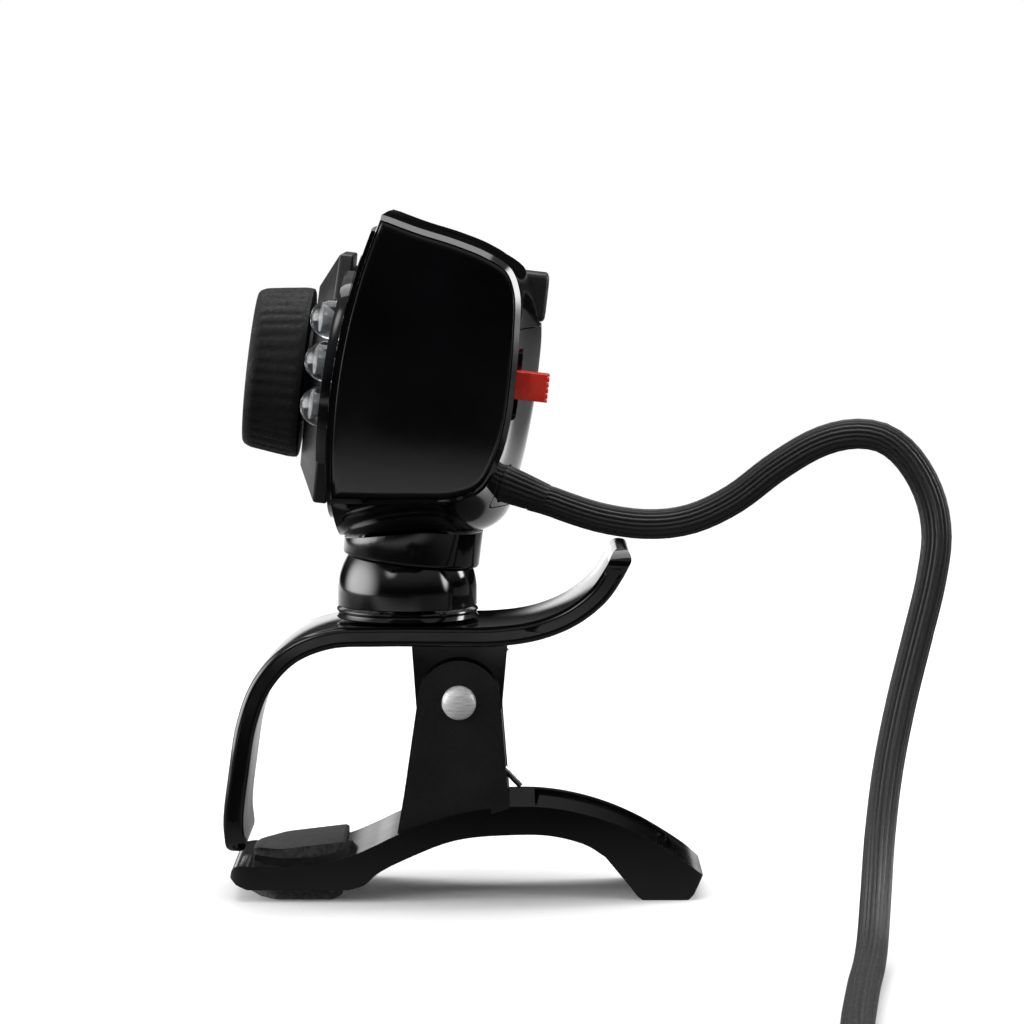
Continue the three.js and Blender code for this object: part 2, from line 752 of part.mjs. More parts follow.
// ---------- lead ----------

// Free stretch of the lead, from its boot over the clip's lever, down to the floor and on to the coil.
const leadRoute = [
  [10.5, 9.1, 43.75], [10.7, 12, 42.7], [11, 15.3, 41.8], [11.3, 19.9, 41.3], [11.8, 24.1, 41.9],
  [12.3, 28.5, 44], [12.8, 33.2, 47.6], [13.3, 37.6, 50.2], [13.9, 41.2, 51.1], [14.4, 44.3, 50.6],
  [15, 46.9, 48.4],
  [15.6, 48.9, 44.7], [16.2, 49.6, 40.8], [17, 49, 36.1], [18.5, 47.4, 30], [20.6, 45.6, 23.6],
  [23.6, 44, 17.1], [28, 42.8, 11], [33.6, 41.9, 6], [40, 41, 2.7], [47, 40, 1.65], [55, 38.8, 1.6],
  [64, 37.6, 1.6], [72, 36.6, 1.6], [84, 35.4, 1.6], [96, 34.5, 1.6], [107, 34.2, 1.6],
];

const leadCurve = new THREE.CatmullRomCurve3(leadRoute.map((p) => new THREE.Vector3(...p)));

// The stretch of the lead between two distances along it, each as a share of its length.
function leadStretch(from, to, steps) {
  const points = [];
  for (let i = 0; i <= steps; i++) {
    points.push(leadCurve.getPointAt(THREE.MathUtils.lerp(from, to, i / steps)).toArray());
  }
  return tube(points, lead.radius, steps, lead.sides);
}

function leadCoil() {
  const pitch = 2 * lead.radius;
  const inner = lead.innerTurn - lead.radius;
  const outer = lead.innerTurn + (lead.turns - 1) * pitch + lead.radius;
  const height = lead.layers * pitch;
  const c = 1;
  const profile = [
    [inner + c, 0], [outer - c, 0], [outer, c], [outer, height - c],
    [outer - c, height], [inner + c, height], [inner, height - c], [inner, c],
  ];
  return turnedZ(profile, 32).translate(lead.coilX, lead.coilY, 0);
}

// Short end of the lead, from the coil to its plug.
const tailRoute = [
  [134.3, 33.9, 4.5], [138.5, 32.3, 3.7], [142.6, 29.6, 2.5], [146.8, 25.4, 1.75], [150.3, 20.6, 1.75],
  [153, 15.6, 2.9], [154.2, 12.6, 4], [154.4, 10.9, 4.1],
];

function leadTail() {
  return tube(tailRoute, lead.radius, 9, lead.sides);
}

// Hook-and-loop tie: a flat band round the coil's section.
function cableTie() {
  const [low, high, height] = [8, 25.9, lead.layers * 2 * lead.radius + fitGap];
  const band = 0.8;
  const outside = block(low - band, high + band, -4, 4, 0, height + band);
  const inside = block(low, high, -5, 5, -1, height);
  return cut(outside, inside).translate(lead.coilX, lead.coilY, 0);
}

const plug = { x: 155, z: 4.1, front: 1.5, back: -21, shellEnd: -33.5 };

function plugBoot() {
  const profile = [[0, 0], [3, 0], [2.1, 8.5], [0, 8.5]];
  return turnedY(profile, 16).translate(plug.x - 0.6, plug.front + fitGap, plug.z);
}

function plugBody() {
  const outline = roundCorners([[-7.8, 0.1], [7.8, 0.1], [7.8, 8.1], [-7.8, 8.1]], 2.5);
  return alongY(outline, plug.back, plug.front).translate(plug.x, 0, 0);
}

function plugShell() {
  const [w, h, wall] = [6, 2.25, 0.4];
  const [z, y0, y1] = [plug.z, plug.shellEnd, plug.back - fitGap];
  const outside = block(plug.x - w, plug.x + w, y0, y1, z - h, z + h);
  const inside = block(plug.x - w + wall, plug.x + w - wall, y0 - 1, y1 + 1, z - h + wall, z + h - wall);
  return cut(outside, inside);
}

function plugTongue() {
  const z = plug.z;
  return block(plug.x - 5.2, plug.x + 5.2, plug.shellEnd + 0.6, plug.back - fitGap, z - 1.5, z + 0.3);
}

// ---------- assembly ----------

const webcam = new THREE.Group();

const headGroup = new THREE.Group();
headGroup.position.set(0, neck.y, neck.z);
headGroup.rotation.x = -headPitch;
webcam.add(headGroup);

addPart(headGroup, 'front_shell', frontShell(), 'gloss');
addPart(headGroup, 'rear_cover', rearCover(), 'gloss');
addPart(headGroup, 'side_panel_left', sidePanel(1), 'gloss');
addPart(headGroup, 'side_panel_right', sidePanel(-1), 'gloss');
addPart(headGroup, 'front_plate', frontPlate(), 'gloss');
addPart(headGroup, 'lens_collar', lensCollar(), 'satin');
addPart(headGroup, 'focus_ring', focusRing(), 'rubber');
addPart(headGroup, 'lens_barrel', lensBarrel(), 'satin');
addPart(headGroup, 'lens_glass', lensGlass(), 'glass');
addPart(headGroup, 'lens_holder', lensHolder(), 'satin');
addPart(headGroup, 'infrared_filter', infraredFilter(), 'glass');
addPart(headGroup, 'image_sensor', imageSensor(), 'chip');
addPart(headGroup, 'main_board', mainBoard(), 'board');
addPart(headGroup, 'led_board', ledBoard(), 'board');
ledPositions().forEach((seat, i) => addPart(headGroup, `led_${i + 1}`, ledLamp(seat), 'clear'));
addPart(headGroup, 'led_trim_left', ledTrim(1), 'gloss');
addPart(headGroup, 'led_trim_right', ledTrim(-1), 'gloss');
addPart(headGroup, 'microphone', microphone(), 'steel');
addPart(headGroup, 'snapshot_button', snapshotButton(), 'satin');
addPart(headGroup, 'button_switch', buttonSwitch(), 'chip');
addPart(headGroup, 'led_slider', ledSlider(), 'red');
addPart(headGroup, 'slide_switch', slideSwitch(), 'chip');
coverScrews.forEach((seat, i) => addPart(headGroup, `cover_screw_${i + 1}`, coverScrew(seat), 'steel'));
addPart(headGroup, 'cable_boot', cableBoot(), 'rubber');
addPart(headGroup, 'head_collar', headCollar(), 'gloss');
addPart(headGroup, 'pivot_screw', pivotScrew(), 'steel');
addPart(headGroup, 'pivot_nut', pivotNut(), 'steel');

const neckGroup = new THREE.Group();
neckGroup.position.set(0, neck.y, neck.z);
webcam.add(neckGroup);
addPart(neckGroup, 'neck_ball', neckBall(), 'gloss');
addPart(neckGroup, 'neck_screw', neckScrew(), 'steel');
addPart(neckGroup, 'neck_base', neckBase(), 'gloss');

addPart(webcam, 'upper_jaw', upperJaw(), 'gloss');
addPart(webcam, 'lower_jaw', lowerJaw(), 'gloss');
addPart(webcam, 'jaw_pad', jawPad(), 'foam');
addPart(webcam, 'foot_pad', footPad(), 'foam');
addPart(webcam, 'hinge_pin', hingePin(), 'steel');
addPart(webcam, 'torsion_spring', torsionSpring(), 'steel');

const faceGap = 0.25 / leadCurve.getLength();
addPart(webcam, 'cord_tube', leadStretch(0, lead.splitAt - faceGap, 7), 'rubber');
addPart(webcam, 'cord_run', leadStretch(lead.splitAt + faceGap, 1, 32), 'rubber');
addPart(webcam, 'cord_coil', leadCoil(), 'rubber');
addPart(webcam, 'cord_tail', leadTail(), 'rubber');
addPart(webcam, 'cable_tie', cableTie(), 'satin');
addPart(webcam, 'plug_boot', plugBoot(), 'rubber');
addPart(webcam, 'plug_body', plugBody(), 'satin');
addPart(webcam, 'plug_shell', plugShell(), 'steel');
addPart(webcam, 'plug_tongue', plugTongue(), 'satin');

export default webcam;
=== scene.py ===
import math
import bpy
import bmesh
from mathutils import Matrix, Vector


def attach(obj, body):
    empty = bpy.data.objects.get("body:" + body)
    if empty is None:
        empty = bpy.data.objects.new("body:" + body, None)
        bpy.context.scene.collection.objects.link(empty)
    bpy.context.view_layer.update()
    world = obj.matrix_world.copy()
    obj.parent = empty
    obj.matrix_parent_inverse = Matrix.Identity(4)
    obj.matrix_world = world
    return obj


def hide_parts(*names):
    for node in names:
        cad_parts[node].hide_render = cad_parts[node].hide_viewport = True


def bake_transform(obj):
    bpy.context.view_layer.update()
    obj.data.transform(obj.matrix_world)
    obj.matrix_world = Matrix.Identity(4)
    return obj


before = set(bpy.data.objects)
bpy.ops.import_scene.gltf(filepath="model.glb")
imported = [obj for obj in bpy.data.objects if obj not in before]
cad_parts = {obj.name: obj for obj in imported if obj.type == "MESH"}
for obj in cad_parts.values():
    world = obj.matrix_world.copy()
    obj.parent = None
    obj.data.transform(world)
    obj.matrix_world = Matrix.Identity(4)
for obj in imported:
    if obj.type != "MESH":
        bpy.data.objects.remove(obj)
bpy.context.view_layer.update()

# Shapes are in millimetres, and place_mesh scales them by MM.
MM = 0.001

# ---------- frames ----------

WORLD = Matrix.Identity(4)
BALL = Vector((0, -6.2, 33))
PITCH = math.radians(6.5)
NECK = Matrix.Translation(BALL)
HEAD = NECK @ Matrix.Rotation(-PITCH, 4, "X")
BALL_R, SOCKET_R = 7.6, 7.95
LENS_Z = 22.3
LENS = HEAD @ Matrix.Translation((0, 0, LENS_Z))
HINGE_Y, HINGE_Z = -0.5, 21.6
HINGE = Matrix.Translation((0, HINGE_Y, HINGE_Z))
BOOT = HEAD @ Matrix.Translation((10.5, 8.3, 13.9)) @ Matrix.Rotation(-math.radians(14.5), 4, "X")

# ---------- camera ----------

camera_data = bpy.data.cameras.new("camera")
camera_data.lens = 132.9
camera_data.sensor_width = 36
camera_data.clip_start = 0.01
camera_data.clip_end = 20
camera = bpy.data.objects.new("camera", camera_data)
camera.location = (0.4095, 0.0052, 0.0801)
camera.rotation_euler = (math.radians(90 - 5.38), 0, math.radians(90))
bpy.context.scene.collection.objects.link(camera)
bpy.context.scene.camera = camera

# ---------- curves and outlines ----------


def catmull(points, steps):
    """Centripetal Catmull-Rom curve through points, as steps + 1 vectors."""
    pts = [Vector(p) for p in points]
    last = len(pts) - 1
    out = []
    for k in range(steps + 1):
        t = last * k / steps
        i = min(int(t), last - 1)
        w = t - i
        p1, p2 = pts[i], pts[i + 1]
        p0 = pts[i - 1] if i > 0 else p1 * 2 - p2
        p3 = pts[i + 2] if i + 2 <= last else p2 * 2 - p1
        d0 = max((p1 - p0).length ** 0.5, 1e-4)
        d1 = max((p2 - p1).length ** 0.5, 1e-4)
        d2 = max((p3 - p2).length ** 0.5, 1e-4)
        m1 = ((p1 - p0) / d0 - (p2 - p0) / (d0 + d1) + (p2 - p1) / d1) * d1
        m2 = ((p2 - p1) / d1 - (p3 - p1) / (d1 + d2) + (p3 - p2) / d2) * d1
        a = p1 * 2 - p2 * 2 + m1 + m2
        b = p2 * 3 - p1 * 3 - m1 * 2 - m2
        out.append(((a * w + b) * w + m1) * w + p1)
    return out


def smooth(pairs, steps):
    return [(p.x, p.y) for p in catmull([(a, b, 0) for a, b in pairs], steps)]


def offset(points, distance):
    """An open outline moved to its left."""
    out = []
    for i, (a, b) in enumerate(points):
        before = points[max(i - 1, 0)]
        after = points[min(i + 1, len(points) - 1)]
        along = Vector((after[0] - before[0], after[1] - before[1])).normalized()
        out.append((a - along.y * distance, b + along.x * distance))
    return out


def round_corners(corners, radius, steps=6):
    out = []
    for i, corner in enumerate(corners):
        here = Vector(corner)
        before = Vector(corners[i - 1]) - here
        after = Vector(corners[(i + 1) % len(corners)]) - here
        start = here + before.normalized() * radius
        end = here + after.normalized() * radius
        for k in range(steps + 1):
            t = k / steps
            p = start * (1 - t) ** 2 + here * 2 * t * (1 - t) + end * t * t
            out.append((p.x, p.y))
    return out


def arc(cy, cz, radius, start, end, steps):
    out = []
    for i in range(steps + 1):
        angle = math.radians(start + (end - start) * i / steps)
        out.append((cy + radius * math.cos(angle), cz + radius * math.sin(angle)))
    return out


def lerp(a, b, t):
    return a + (b - a) * t


def smoothstep(value, low, high):
    t = min(max((value - low) / (high - low), 0), 1)
    return t * t * (3 - 2 * t)


# ---------- meshes ----------


def place_mesh(name, verts, faces, place):
    mesh = bpy.data.meshes.new(name)
    mesh.from_pydata([tuple((place @ Vector(v)) * MM) for v in verts], [], faces)
    bm = bmesh.new()
    bm.from_mesh(mesh)
    bmesh.ops.remove_doubles(bm, verts=bm.verts, dist=1e-6)
    bmesh.ops.recalc_face_normals(bm, faces=bm.faces)
    bm.to_mesh(mesh)
    bm.free()
    obj = bpy.data.objects.new(name, mesh)
    bpy.context.scene.collection.objects.link(obj)
    return obj


def carve(obj, *tools, operation="DIFFERENCE"):
    for tool in tools:
        cut = obj.modifiers.new("carve", "BOOLEAN")
        cut.operation = operation
        cut.solver = "EXACT"
        cut.object = tool
    bpy.context.view_layer.update()
    graph = bpy.context.evaluated_depsgraph_get()
    mesh = bpy.data.meshes.new_from_object(obj.evaluated_get(graph))
    obj.modifiers.clear()
    obj.data = mesh
    for tool in tools:
        bpy.data.objects.remove(tool)


def loft(rings):
    """Equal closed rings joined in turn, and capped."""
    count = len(rings[0])
    verts = [p for ring in rings for p in ring]
    faces = []
    for r in range(len(rings) - 1):
        for i in range(count):
            j = (i + 1) % count
            a, b = r * count, (r + 1) * count
            faces.append((a + i, a + j, b + j, b + i))
    faces.append(tuple(range(count)))
    faces.append(tuple(range(len(verts) - 1, len(verts) - 1 - count, -1)))
    return verts, faces


def extrude(outline, low, high, axis):
    if axis == "X":
        rings = [[(x, a, b) for a, b in outline] for x in (low, high)]
    elif axis == "Y":
        rings = [[(a, y, b) for a, b in outline] for y in (low, high)]
    else:
        rings = [[(a, b, z) for a, b in outline] for z in (low, high)]
    return loft(rings)


ON_AXIS = 1e-6


def lathe(profile, axis="Z", segments=64, wave=None):
    """A [radius, height] profile turned about an axis. wave(angle, index) is added to the radius."""
    verts = []
    faces = []
    rows = []
    for index, (radius, height) in enumerate(profile):
        if radius < ON_AXIS:
            rows.append([len(verts)])
            verts.append((0, 0, height))
            continue
        row = []
        for k in range(segments):
            angle = 2 * math.pi * k / segments
            r = radius + (wave(angle, index) if wave else 0)
            row.append(len(verts))
            verts.append((r * math.cos(angle), r * math.sin(angle), height))
        rows.append(row)
    closing = rows[:1] if profile[0][0] > ON_AXIS else []
    for low, high in zip(rows, rows[1:] + closing):
        for k in range(segments):
            j = (k + 1) % segments
            face = [low[k % len(low)], low[j % len(low)], high[j % len(high)], high[k % len(high)]]
            face = list(dict.fromkeys(face))
            if len(face) > 2:
                faces.append(tuple(face))
    if axis == "Y":
        verts = [(x, z, -y) for x, y, z in verts]
    elif axis == "X":
        verts = [(z, x, y) for x, y, z in verts]
    return verts, faces


def box(x0, x1, y0, y1, z0, z1):
    return extrude([(y0, z0), (y1, z0), (y1, z1), (y0, z1)], x0, x1, "X")


def sweep(points, section):
    """A closed [a, b] section carried along points without twist."""
    pts = [Vector(p) for p in points]
    count = len(pts)
    normal = None
    rings = []
    for i, p in enumerate(pts):
        tangent = (pts[min(i + 1, count - 1)] - pts[max(i - 1, 0)]).normalized()
        if normal is None:
            normal = tangent.orthogonal().normalized()
        normal = (normal - tangent * normal.dot(tangent)).normalized()
        side = tangent.cross(normal)
        rings.append([p + normal * a + side * b for a, b in section])
    return loft(rings)


def circle(radius, segments=16):
    return [
        (radius * math.cos(2 * math.pi * k / segments), radius * math.sin(2 * math.pi * k / segments))
        for k in range(segments)
    ]


# ---------- materials ----------


def principled(name, **values):
    mat = bpy.data.materials.new(name)
    mat.use_nodes = True
    shader = mat.node_tree.nodes["Principled BSDF"]
    for key, value in values.items():
        shader.inputs[key.replace("_", " ")].default_value = value
    return mat, mat.node_tree, shader


def node(tree, kind, **inputs):
    made = tree.nodes.new(kind)
    for key, value in inputs.items():
        made.inputs[key.replace("_", " ")].default_value = value
    return made


def coordinates(tree, stretch=(1, 1, 1)):
    source = tree.nodes.new("ShaderNodeTexCoord")
    mapping = tree.nodes.new("ShaderNodeMapping")
    mapping.inputs["Scale"].default_value = stretch
    tree.links.new(source.outputs["Object"], mapping.inputs["Vector"])
    return mapping.outputs["Vector"]


def noise(tree, vector, scale, detail=3.0, rough=0.5):
    made = node(tree, "ShaderNodeTexNoise", Scale=scale, Detail=detail, Roughness=rough)
    tree.links.new(vector, made.inputs["Vector"])
    return made.outputs["Fac"]


def ramp(tree, value, low, high, start, end, style="SMOOTHSTEP"):
    """Value turned into start..end as it goes from low to high."""
    step = tree.nodes.new("ShaderNodeMapRange")
    step.interpolation_type = style
    step.inputs["From Min"].default_value = low
    step.inputs["From Max"].default_value = high
    step.inputs["To Min"].default_value = start
    step.inputs["To Max"].default_value = end
    tree.links.new(value, step.inputs["Value"])
    return step.outputs["Result"]


# Most of a noise texture's values lie between these.
NOISE_LOW, NOISE_HIGH = 0.3, 0.7


def roughen(tree, shader, grain, low, high):
    """Roughness from low to high with the grain."""
    result = ramp(tree, grain, NOISE_LOW, NOISE_HIGH, low, high, "LINEAR")
    tree.links.new(result, shader.inputs["Roughness"])


def paint(tree, shader, grain, dark, light):
    """Base colour from dark to light with the grain."""
    made = tree.nodes.new("ShaderNodeValToRGB")
    made.color_ramp.elements[0].position = NOISE_LOW
    made.color_ramp.elements[1].position = NOISE_HIGH
    made.color_ramp.elements[0].color = (*dark, 1)
    made.color_ramp.elements[1].color = (*light, 1)
    tree.links.new(grain, made.inputs["Fac"])
    tree.links.new(made.outputs["Color"], shader.inputs["Base Color"])


def length_of(tree, vector):
    made = tree.nodes.new("ShaderNodeVectorMath")
    made.operation = "LENGTH"
    tree.links.new(vector, made.inputs[0])
    return made.outputs["Value"]


def mixed(tree, share, first, second):
    """The first shader, giving way to the second as share goes from 0 to 1."""
    made = tree.nodes.new("ShaderNodeMixShader")
    tree.links.new(share, made.inputs["Fac"])
    tree.links.new(first, made.inputs[1])
    tree.links.new(second, made.inputs[2])
    return made.outputs["Shader"]


def times(tree, first, second):
    product = tree.nodes.new("ShaderNodeMath")
    product.operation = "MULTIPLY"
    tree.links.new(first, product.inputs[0])
    tree.links.new(second, product.inputs[1])
    return product.outputs["Value"]


def bump(tree, shader, height, strength, distance):
    made = node(tree, "ShaderNodeBump", Strength=strength, Distance=distance)
    tree.links.new(height, made.inputs["Height"])
    tree.links.new(made.outputs["Normal"], shader.inputs["Normal"])


def gloss_black():
    """Polished ABS: deep black, faint mould waviness, wiping haze in the roughness."""
    mat, tree, shader = principled("gloss_black", IOR=1.52)
    vector = coordinates(tree)
    haze = noise(tree, vector, 90, 4, 0.6)
    roughen(tree, shader, haze, 0.05, 0.13)
    paint(tree, shader, haze, (0.002, 0.002, 0.0025), (0.004, 0.004, 0.005))
    bump(tree, shader, noise(tree, vector, 260, 2, 0.4), 0.05, 0.0001)
    return mat


def satin_black():
    mat, tree, shader = principled("satin_black")
    vector = coordinates(tree)
    roughen(tree, shader, noise(tree, vector, 200), 0.32, 0.46)
    grain = noise(tree, vector, 3200, 2, 0.6)
    paint(tree, shader, grain, (0.005, 0.005, 0.006), (0.011, 0.011, 0.012))
    bump(tree, shader, grain, 0.25, 0.00004)
    return mat


def soft_rubber(name, shade, low, high, scale, strength, **values):
    mat, tree, shader = principled(name, **values)
    vector = coordinates(tree)
    grain = noise(tree, vector, scale, 3, 0.65)
    roughen(tree, shader, grain, low, high)
    dark = tuple(0.65 * c for c in shade)
    light = tuple(1.4 * c for c in shade)
    paint(tree, shader, grain, dark, light)
    bump(tree, shader, grain, strength, 0.00008)
    return mat


def foam_black():
    """Closed-cell foam: crumbs of light and dark with a rough, open surface."""
    mat, tree, shader = principled("foam_black")
    vector = coordinates(tree)
    cells = tree.nodes.new("ShaderNodeTexVoronoi")
    cells.inputs["Scale"].default_value = 2600
    tree.links.new(vector, cells.inputs["Vector"])
    crumbs = noise(tree, vector, 1900, 5, 0.75)
    mix = tree.nodes.new("ShaderNodeMath")
    mix.operation = "MULTIPLY_ADD"
    mix.inputs[1].default_value = 0.6
    tree.links.new(cells.outputs["Distance"], mix.inputs[0])
    tree.links.new(crumbs, mix.inputs[2])
    paint(tree, shader, crumbs, (0.006, 0.006, 0.006), (0.075, 0.075, 0.078))
    roughen(tree, shader, crumbs, 0.8, 1.0)
    bump(tree, shader, mix.outputs["Value"], 0.8, 0.00022)
    return mat


def red_plastic():
    mat, tree, shader = principled("red_plastic", Subsurface_Weight=0.25, Subsurface_Scale=0.001, IOR=1.5)
    vector = coordinates(tree)
    cloud = noise(tree, vector, 500)
    paint(tree, shader, cloud, (0.80, 0.035, 0.02), (0.95, 0.06, 0.035))
    roughen(tree, shader, cloud, 0.22, 0.34)
    bump(tree, shader, noise(tree, vector, 2500), 0.1, 0.00004)
    return mat


def clear_resin():
    mat, tree, shader = principled(
        "clear_resin", Base_Color=(0.62, 0.64, 0.68, 1), Transmission_Weight=1.0, IOR=1.5
    )
    vector = coordinates(tree)
    roughen(tree, shader, noise(tree, vector, 600), 0.08, 0.16)
    bump(tree, shader, noise(tree, vector, 500), 0.06, 0.00005)
    return mat


def coated_glass():
    mat, tree, shader = principled(
        "coated_glass",
        Base_Color=(0.012, 0.008, 0.03, 1),
        IOR=1.6,
        Thin_Film_Thickness=325.0,
        Thin_Film_IOR=1.38,
    )
    roughen(tree, shader, noise(tree, coordinates(tree), 300), 0.015, 0.05)
    return mat


def steel(name, metallic, dark, light, low, high):
    mat, tree, shader = principled(name, Metallic=metallic)
    vector = coordinates(tree, (1, 1, 6))
    brushed = noise(tree, vector, 900, 4, 0.7)
    paint(tree, shader, brushed, (dark,) * 3, (light,) * 3)
    roughen(tree, shader, brushed, low, high)
    bump(tree, shader, brushed, 0.12, 0.00003)
    return mat


def board_green():
    mat, tree, shader = principled("board_green")
    vector = coordinates(tree)
    weave = noise(tree, vector, 1500)
    paint(tree, shader, weave, (0.01, 0.11, 0.04), (0.02, 0.17, 0.06))
    roughen(tree, shader, weave, 0.3, 0.45)
    bump(tree, shader, weave, 0.15, 0.00003)
    return mat


def lamp_white():
    mat, tree, shader = principled("lamp_white")
    tone = noise(tree, coordinates(tree), 800)
    paint(tree, shader, tone, (0.50, 0.50, 0.49), (0.66, 0.66, 0.65))
    roughen(tree, shader, tone, 0.3, 0.5)
    return mat


def pale_backdrop():
    """White floor: it darkens a little with shade, and turns to plain white away from the object.

    Reflections see it white behind the object and dark in front, as if the light pooled at the back.
    """
    mat = bpy.data.materials.new("floor_white")
    mat.use_nodes = True
    tree = mat.node_tree
    tree.nodes.clear()
    output = tree.nodes.new("ShaderNodeOutputMaterial")
    near = node(tree, "ShaderNodeBsdfDiffuse", Color=(0.9, 0.9, 0.9, 1))
    far = node(tree, "ShaderNodeEmission", Color=(1, 1, 1, 1), Strength=1.0)
    place = coordinates(tree)
    split = tree.nodes.new("ShaderNodeSeparateXYZ")
    tree.links.new(place, split.inputs["Vector"])
    depth = tree.nodes.new("ShaderNodeValToRGB")
    tree.links.new(ramp(tree, split.outputs["X"], -0.5, 0.5, 0.0, 1.0, "LINEAR"), depth.inputs["Fac"])
    stops = [(0.2, 1.6), (0.45, 0.25), (0.5, 0.3), (0.56, 0.03), (0.64, 0.04), (0.72, 0.9), (0.88, 0.02)]
    bands = depth.color_ramp.elements
    while len(bands) < len(stops):
        bands.new(0.5)
    for band, (share, value) in zip(bands, stops):
        band.position = share
        band.color = (value, value, value, 1)
    left = ramp(tree, split.outputs["Y"], -0.4, -0.3, 0.0, 1.0)
    right = ramp(tree, split.outputs["Y"], 0.02, 0.14, 1.0, 0.0)
    pool = times(tree, left, right)
    dark = node(tree, "ShaderNodeBsdfDiffuse", Color=(0.14, 0.14, 0.14, 1))
    lit = tree.nodes.new("ShaderNodeEmission")
    tree.links.new(depth.outputs["Color"], lit.inputs["Color"])
    mirrored = mixed(tree, pool, dark.outputs["BSDF"], lit.outputs["Emission"])
    fade = ramp(tree, length_of(tree, place), 0.25, 0.6, 0.0, 1.0)
    seen = mixed(tree, fade, near.outputs["BSDF"], far.outputs["Emission"])
    path = tree.nodes.new("ShaderNodeLightPath")
    surface = mixed(tree, path.outputs["Is Camera Ray"], mirrored, seen)
    tree.links.new(surface, output.inputs["Surface"])
    return mat


GLOSS = gloss_black()
SATIN = satin_black()
RUBBER = soft_rubber("rubber_black", (0.004, 0.004, 0.0045), 0.45, 0.8, 2400, 1.0, Specular_IOR_Level=0.22)
PAD_SKIN = soft_rubber("pad_skin", (0.010, 0.010, 0.011), 0.3, 0.42, 1800, 0.2)
CORD = soft_rubber("cord_black", (0.006, 0.006, 0.007), 0.4, 0.6, 2400, 0.25)
FOAM = foam_black()
RED = red_plastic()
CLEAR = clear_resin()
OPTIC = coated_glass()
STEEL = steel("plated_steel", 1.0, 0.60, 0.80, 0.10, 0.26)
RIVET = steel("peened_steel", 0.3, 0.55, 0.95, 0.34, 0.55)
BOARD = board_green()
WHITE = lamp_white()


def piece(
    name, shape, material, body, stands_for=(), place=WORLD, sharp=32, bevel=None, segments=3, carved=()
):
    """A finished piece: mesh, optional carving and bevel, smooth shading, material and body."""
    obj = place_mesh(name, *shape, place)
    if carved:
        tools = [place_mesh(name + "_tool", *tool, place) for tool in carved]
        carve(obj, *tools)
    finish_piece(obj, material, sharp, bevel, segments)
    if stands_for:
        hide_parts(*stands_for)
    if body:
        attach(obj, body)
    return obj


def finish_piece(obj, material, sharp=32, bevel=None, segments=3):
    obj.data.materials.clear()
    obj.data.materials.append(material)
    obj.data.polygons.foreach_set("use_smooth", [True] * len(obj.data.polygons))
    obj.data.set_sharp_from_angle(angle=math.radians(sharp))
    if bevel:
        rounding = obj.modifiers.new("bevel", "BEVEL")
        rounding.width = bevel * MM
        rounding.segments = segments
        rounding.limit_method = "ANGLE"
        rounding.angle_limit = math.radians(sharp)
        rounding.harden_normals = True


# ---------- lead ----------

CORD_R = 1.6
COIL_X, COIL_Y = 120, 10.4
COIL_RADII = (11, 14.2, 17.4, 20.6, 23.8)
LEAD_ROUTE = [
    (10.5, 9.1, 43.75), (10.7, 12, 42.7), (11, 15.3, 41.8), (11.3, 19.9, 41.3), (11.8, 24.1, 41.9),
    (12.3, 28.5, 44), (12.8, 33.2, 47.6), (13.3, 37.6, 50.2), (13.9, 41.2, 51.1), (14.4, 44.3, 50.6),
    (15, 46.9, 48.4), (15.6, 48.9, 44.7), (16.2, 49.6, 40.8), (17, 49, 36.1), (18.5, 47.4, 30),
    (20.6, 45.6, 23.6), (23.6, 44, 17.1), (28, 42.8, 11), (33.6, 41.9, 6), (40, 41, 2.7), (47, 40, 1.65),
    (55, 38.8, 1.6), (64, 37.6, 1.6), (72, 36.6, 1.6), (84, 35.4, 1.6), (96, 34.5, 1.6), (107, 34.2, 1.6),
]
TAIL_ROUTE = [
    (134.3, 33.9, 4.5), (138.5, 32.3, 3.7), (142.6, 29.6, 2.5), (146.8, 25.4, 1.75), (150.3, 20.6, 1.75),
    (153, 15.6, 2.9), (154.2, 12.6, 4), (154.4, 10.9, 4.1),
]


def coil_route():
    """Ten turns clockwise from above: five inward on the floor, then five outward on top of them."""
    out = []
    per_turn = 48
    pitch = COIL_RADII[1] - COIL_RADII[0]
    low, high = 1.6, 4.8
    for layer in range(2):
        for turn in range(5):
            for k in range(per_turn):
                share = k / per_turn
                shift = smoothstep(share, 0.88, 1.0)
                climb = smoothstep(share, 0.74, 0.87)
                if layer == 0:
                    radius = COIL_RADII[4] - pitch * min(turn + shift, 4)
                    z = low + (high - low) * (climb if turn == 4 else 0)
                else:
                    radius = COIL_RADII[0] + pitch * min(turn + shift, 4)
                    z = high
                angle = math.radians(90) - 2 * math.pi * share
                out.append((COIL_X + radius * math.cos(angle), COIL_Y + radius * math.sin(angle), z))
    return out


def even(points, step):
    """The same path with points a set distance apart."""
    out = [Vector(points[0])]
    for p in points[1:]:
        p = Vector(p)
        while (p - out[-1]).length >= step:
            out.append(out[-1] + (p - out[-1]).normalized() * step)
    return out


def cord_section(radius=CORD_R, ribs=20, depth=0.13, per_rib=4):
    out = []
    count = ribs * per_rib
    for k in range(count):
        angle = 2 * math.pi * k / count
        r = radius - depth * (0.5 + 0.5 * math.cos(ribs * angle)) ** 2
        out.append((r * math.cos(angle), r * math.sin(angle)))
    return out


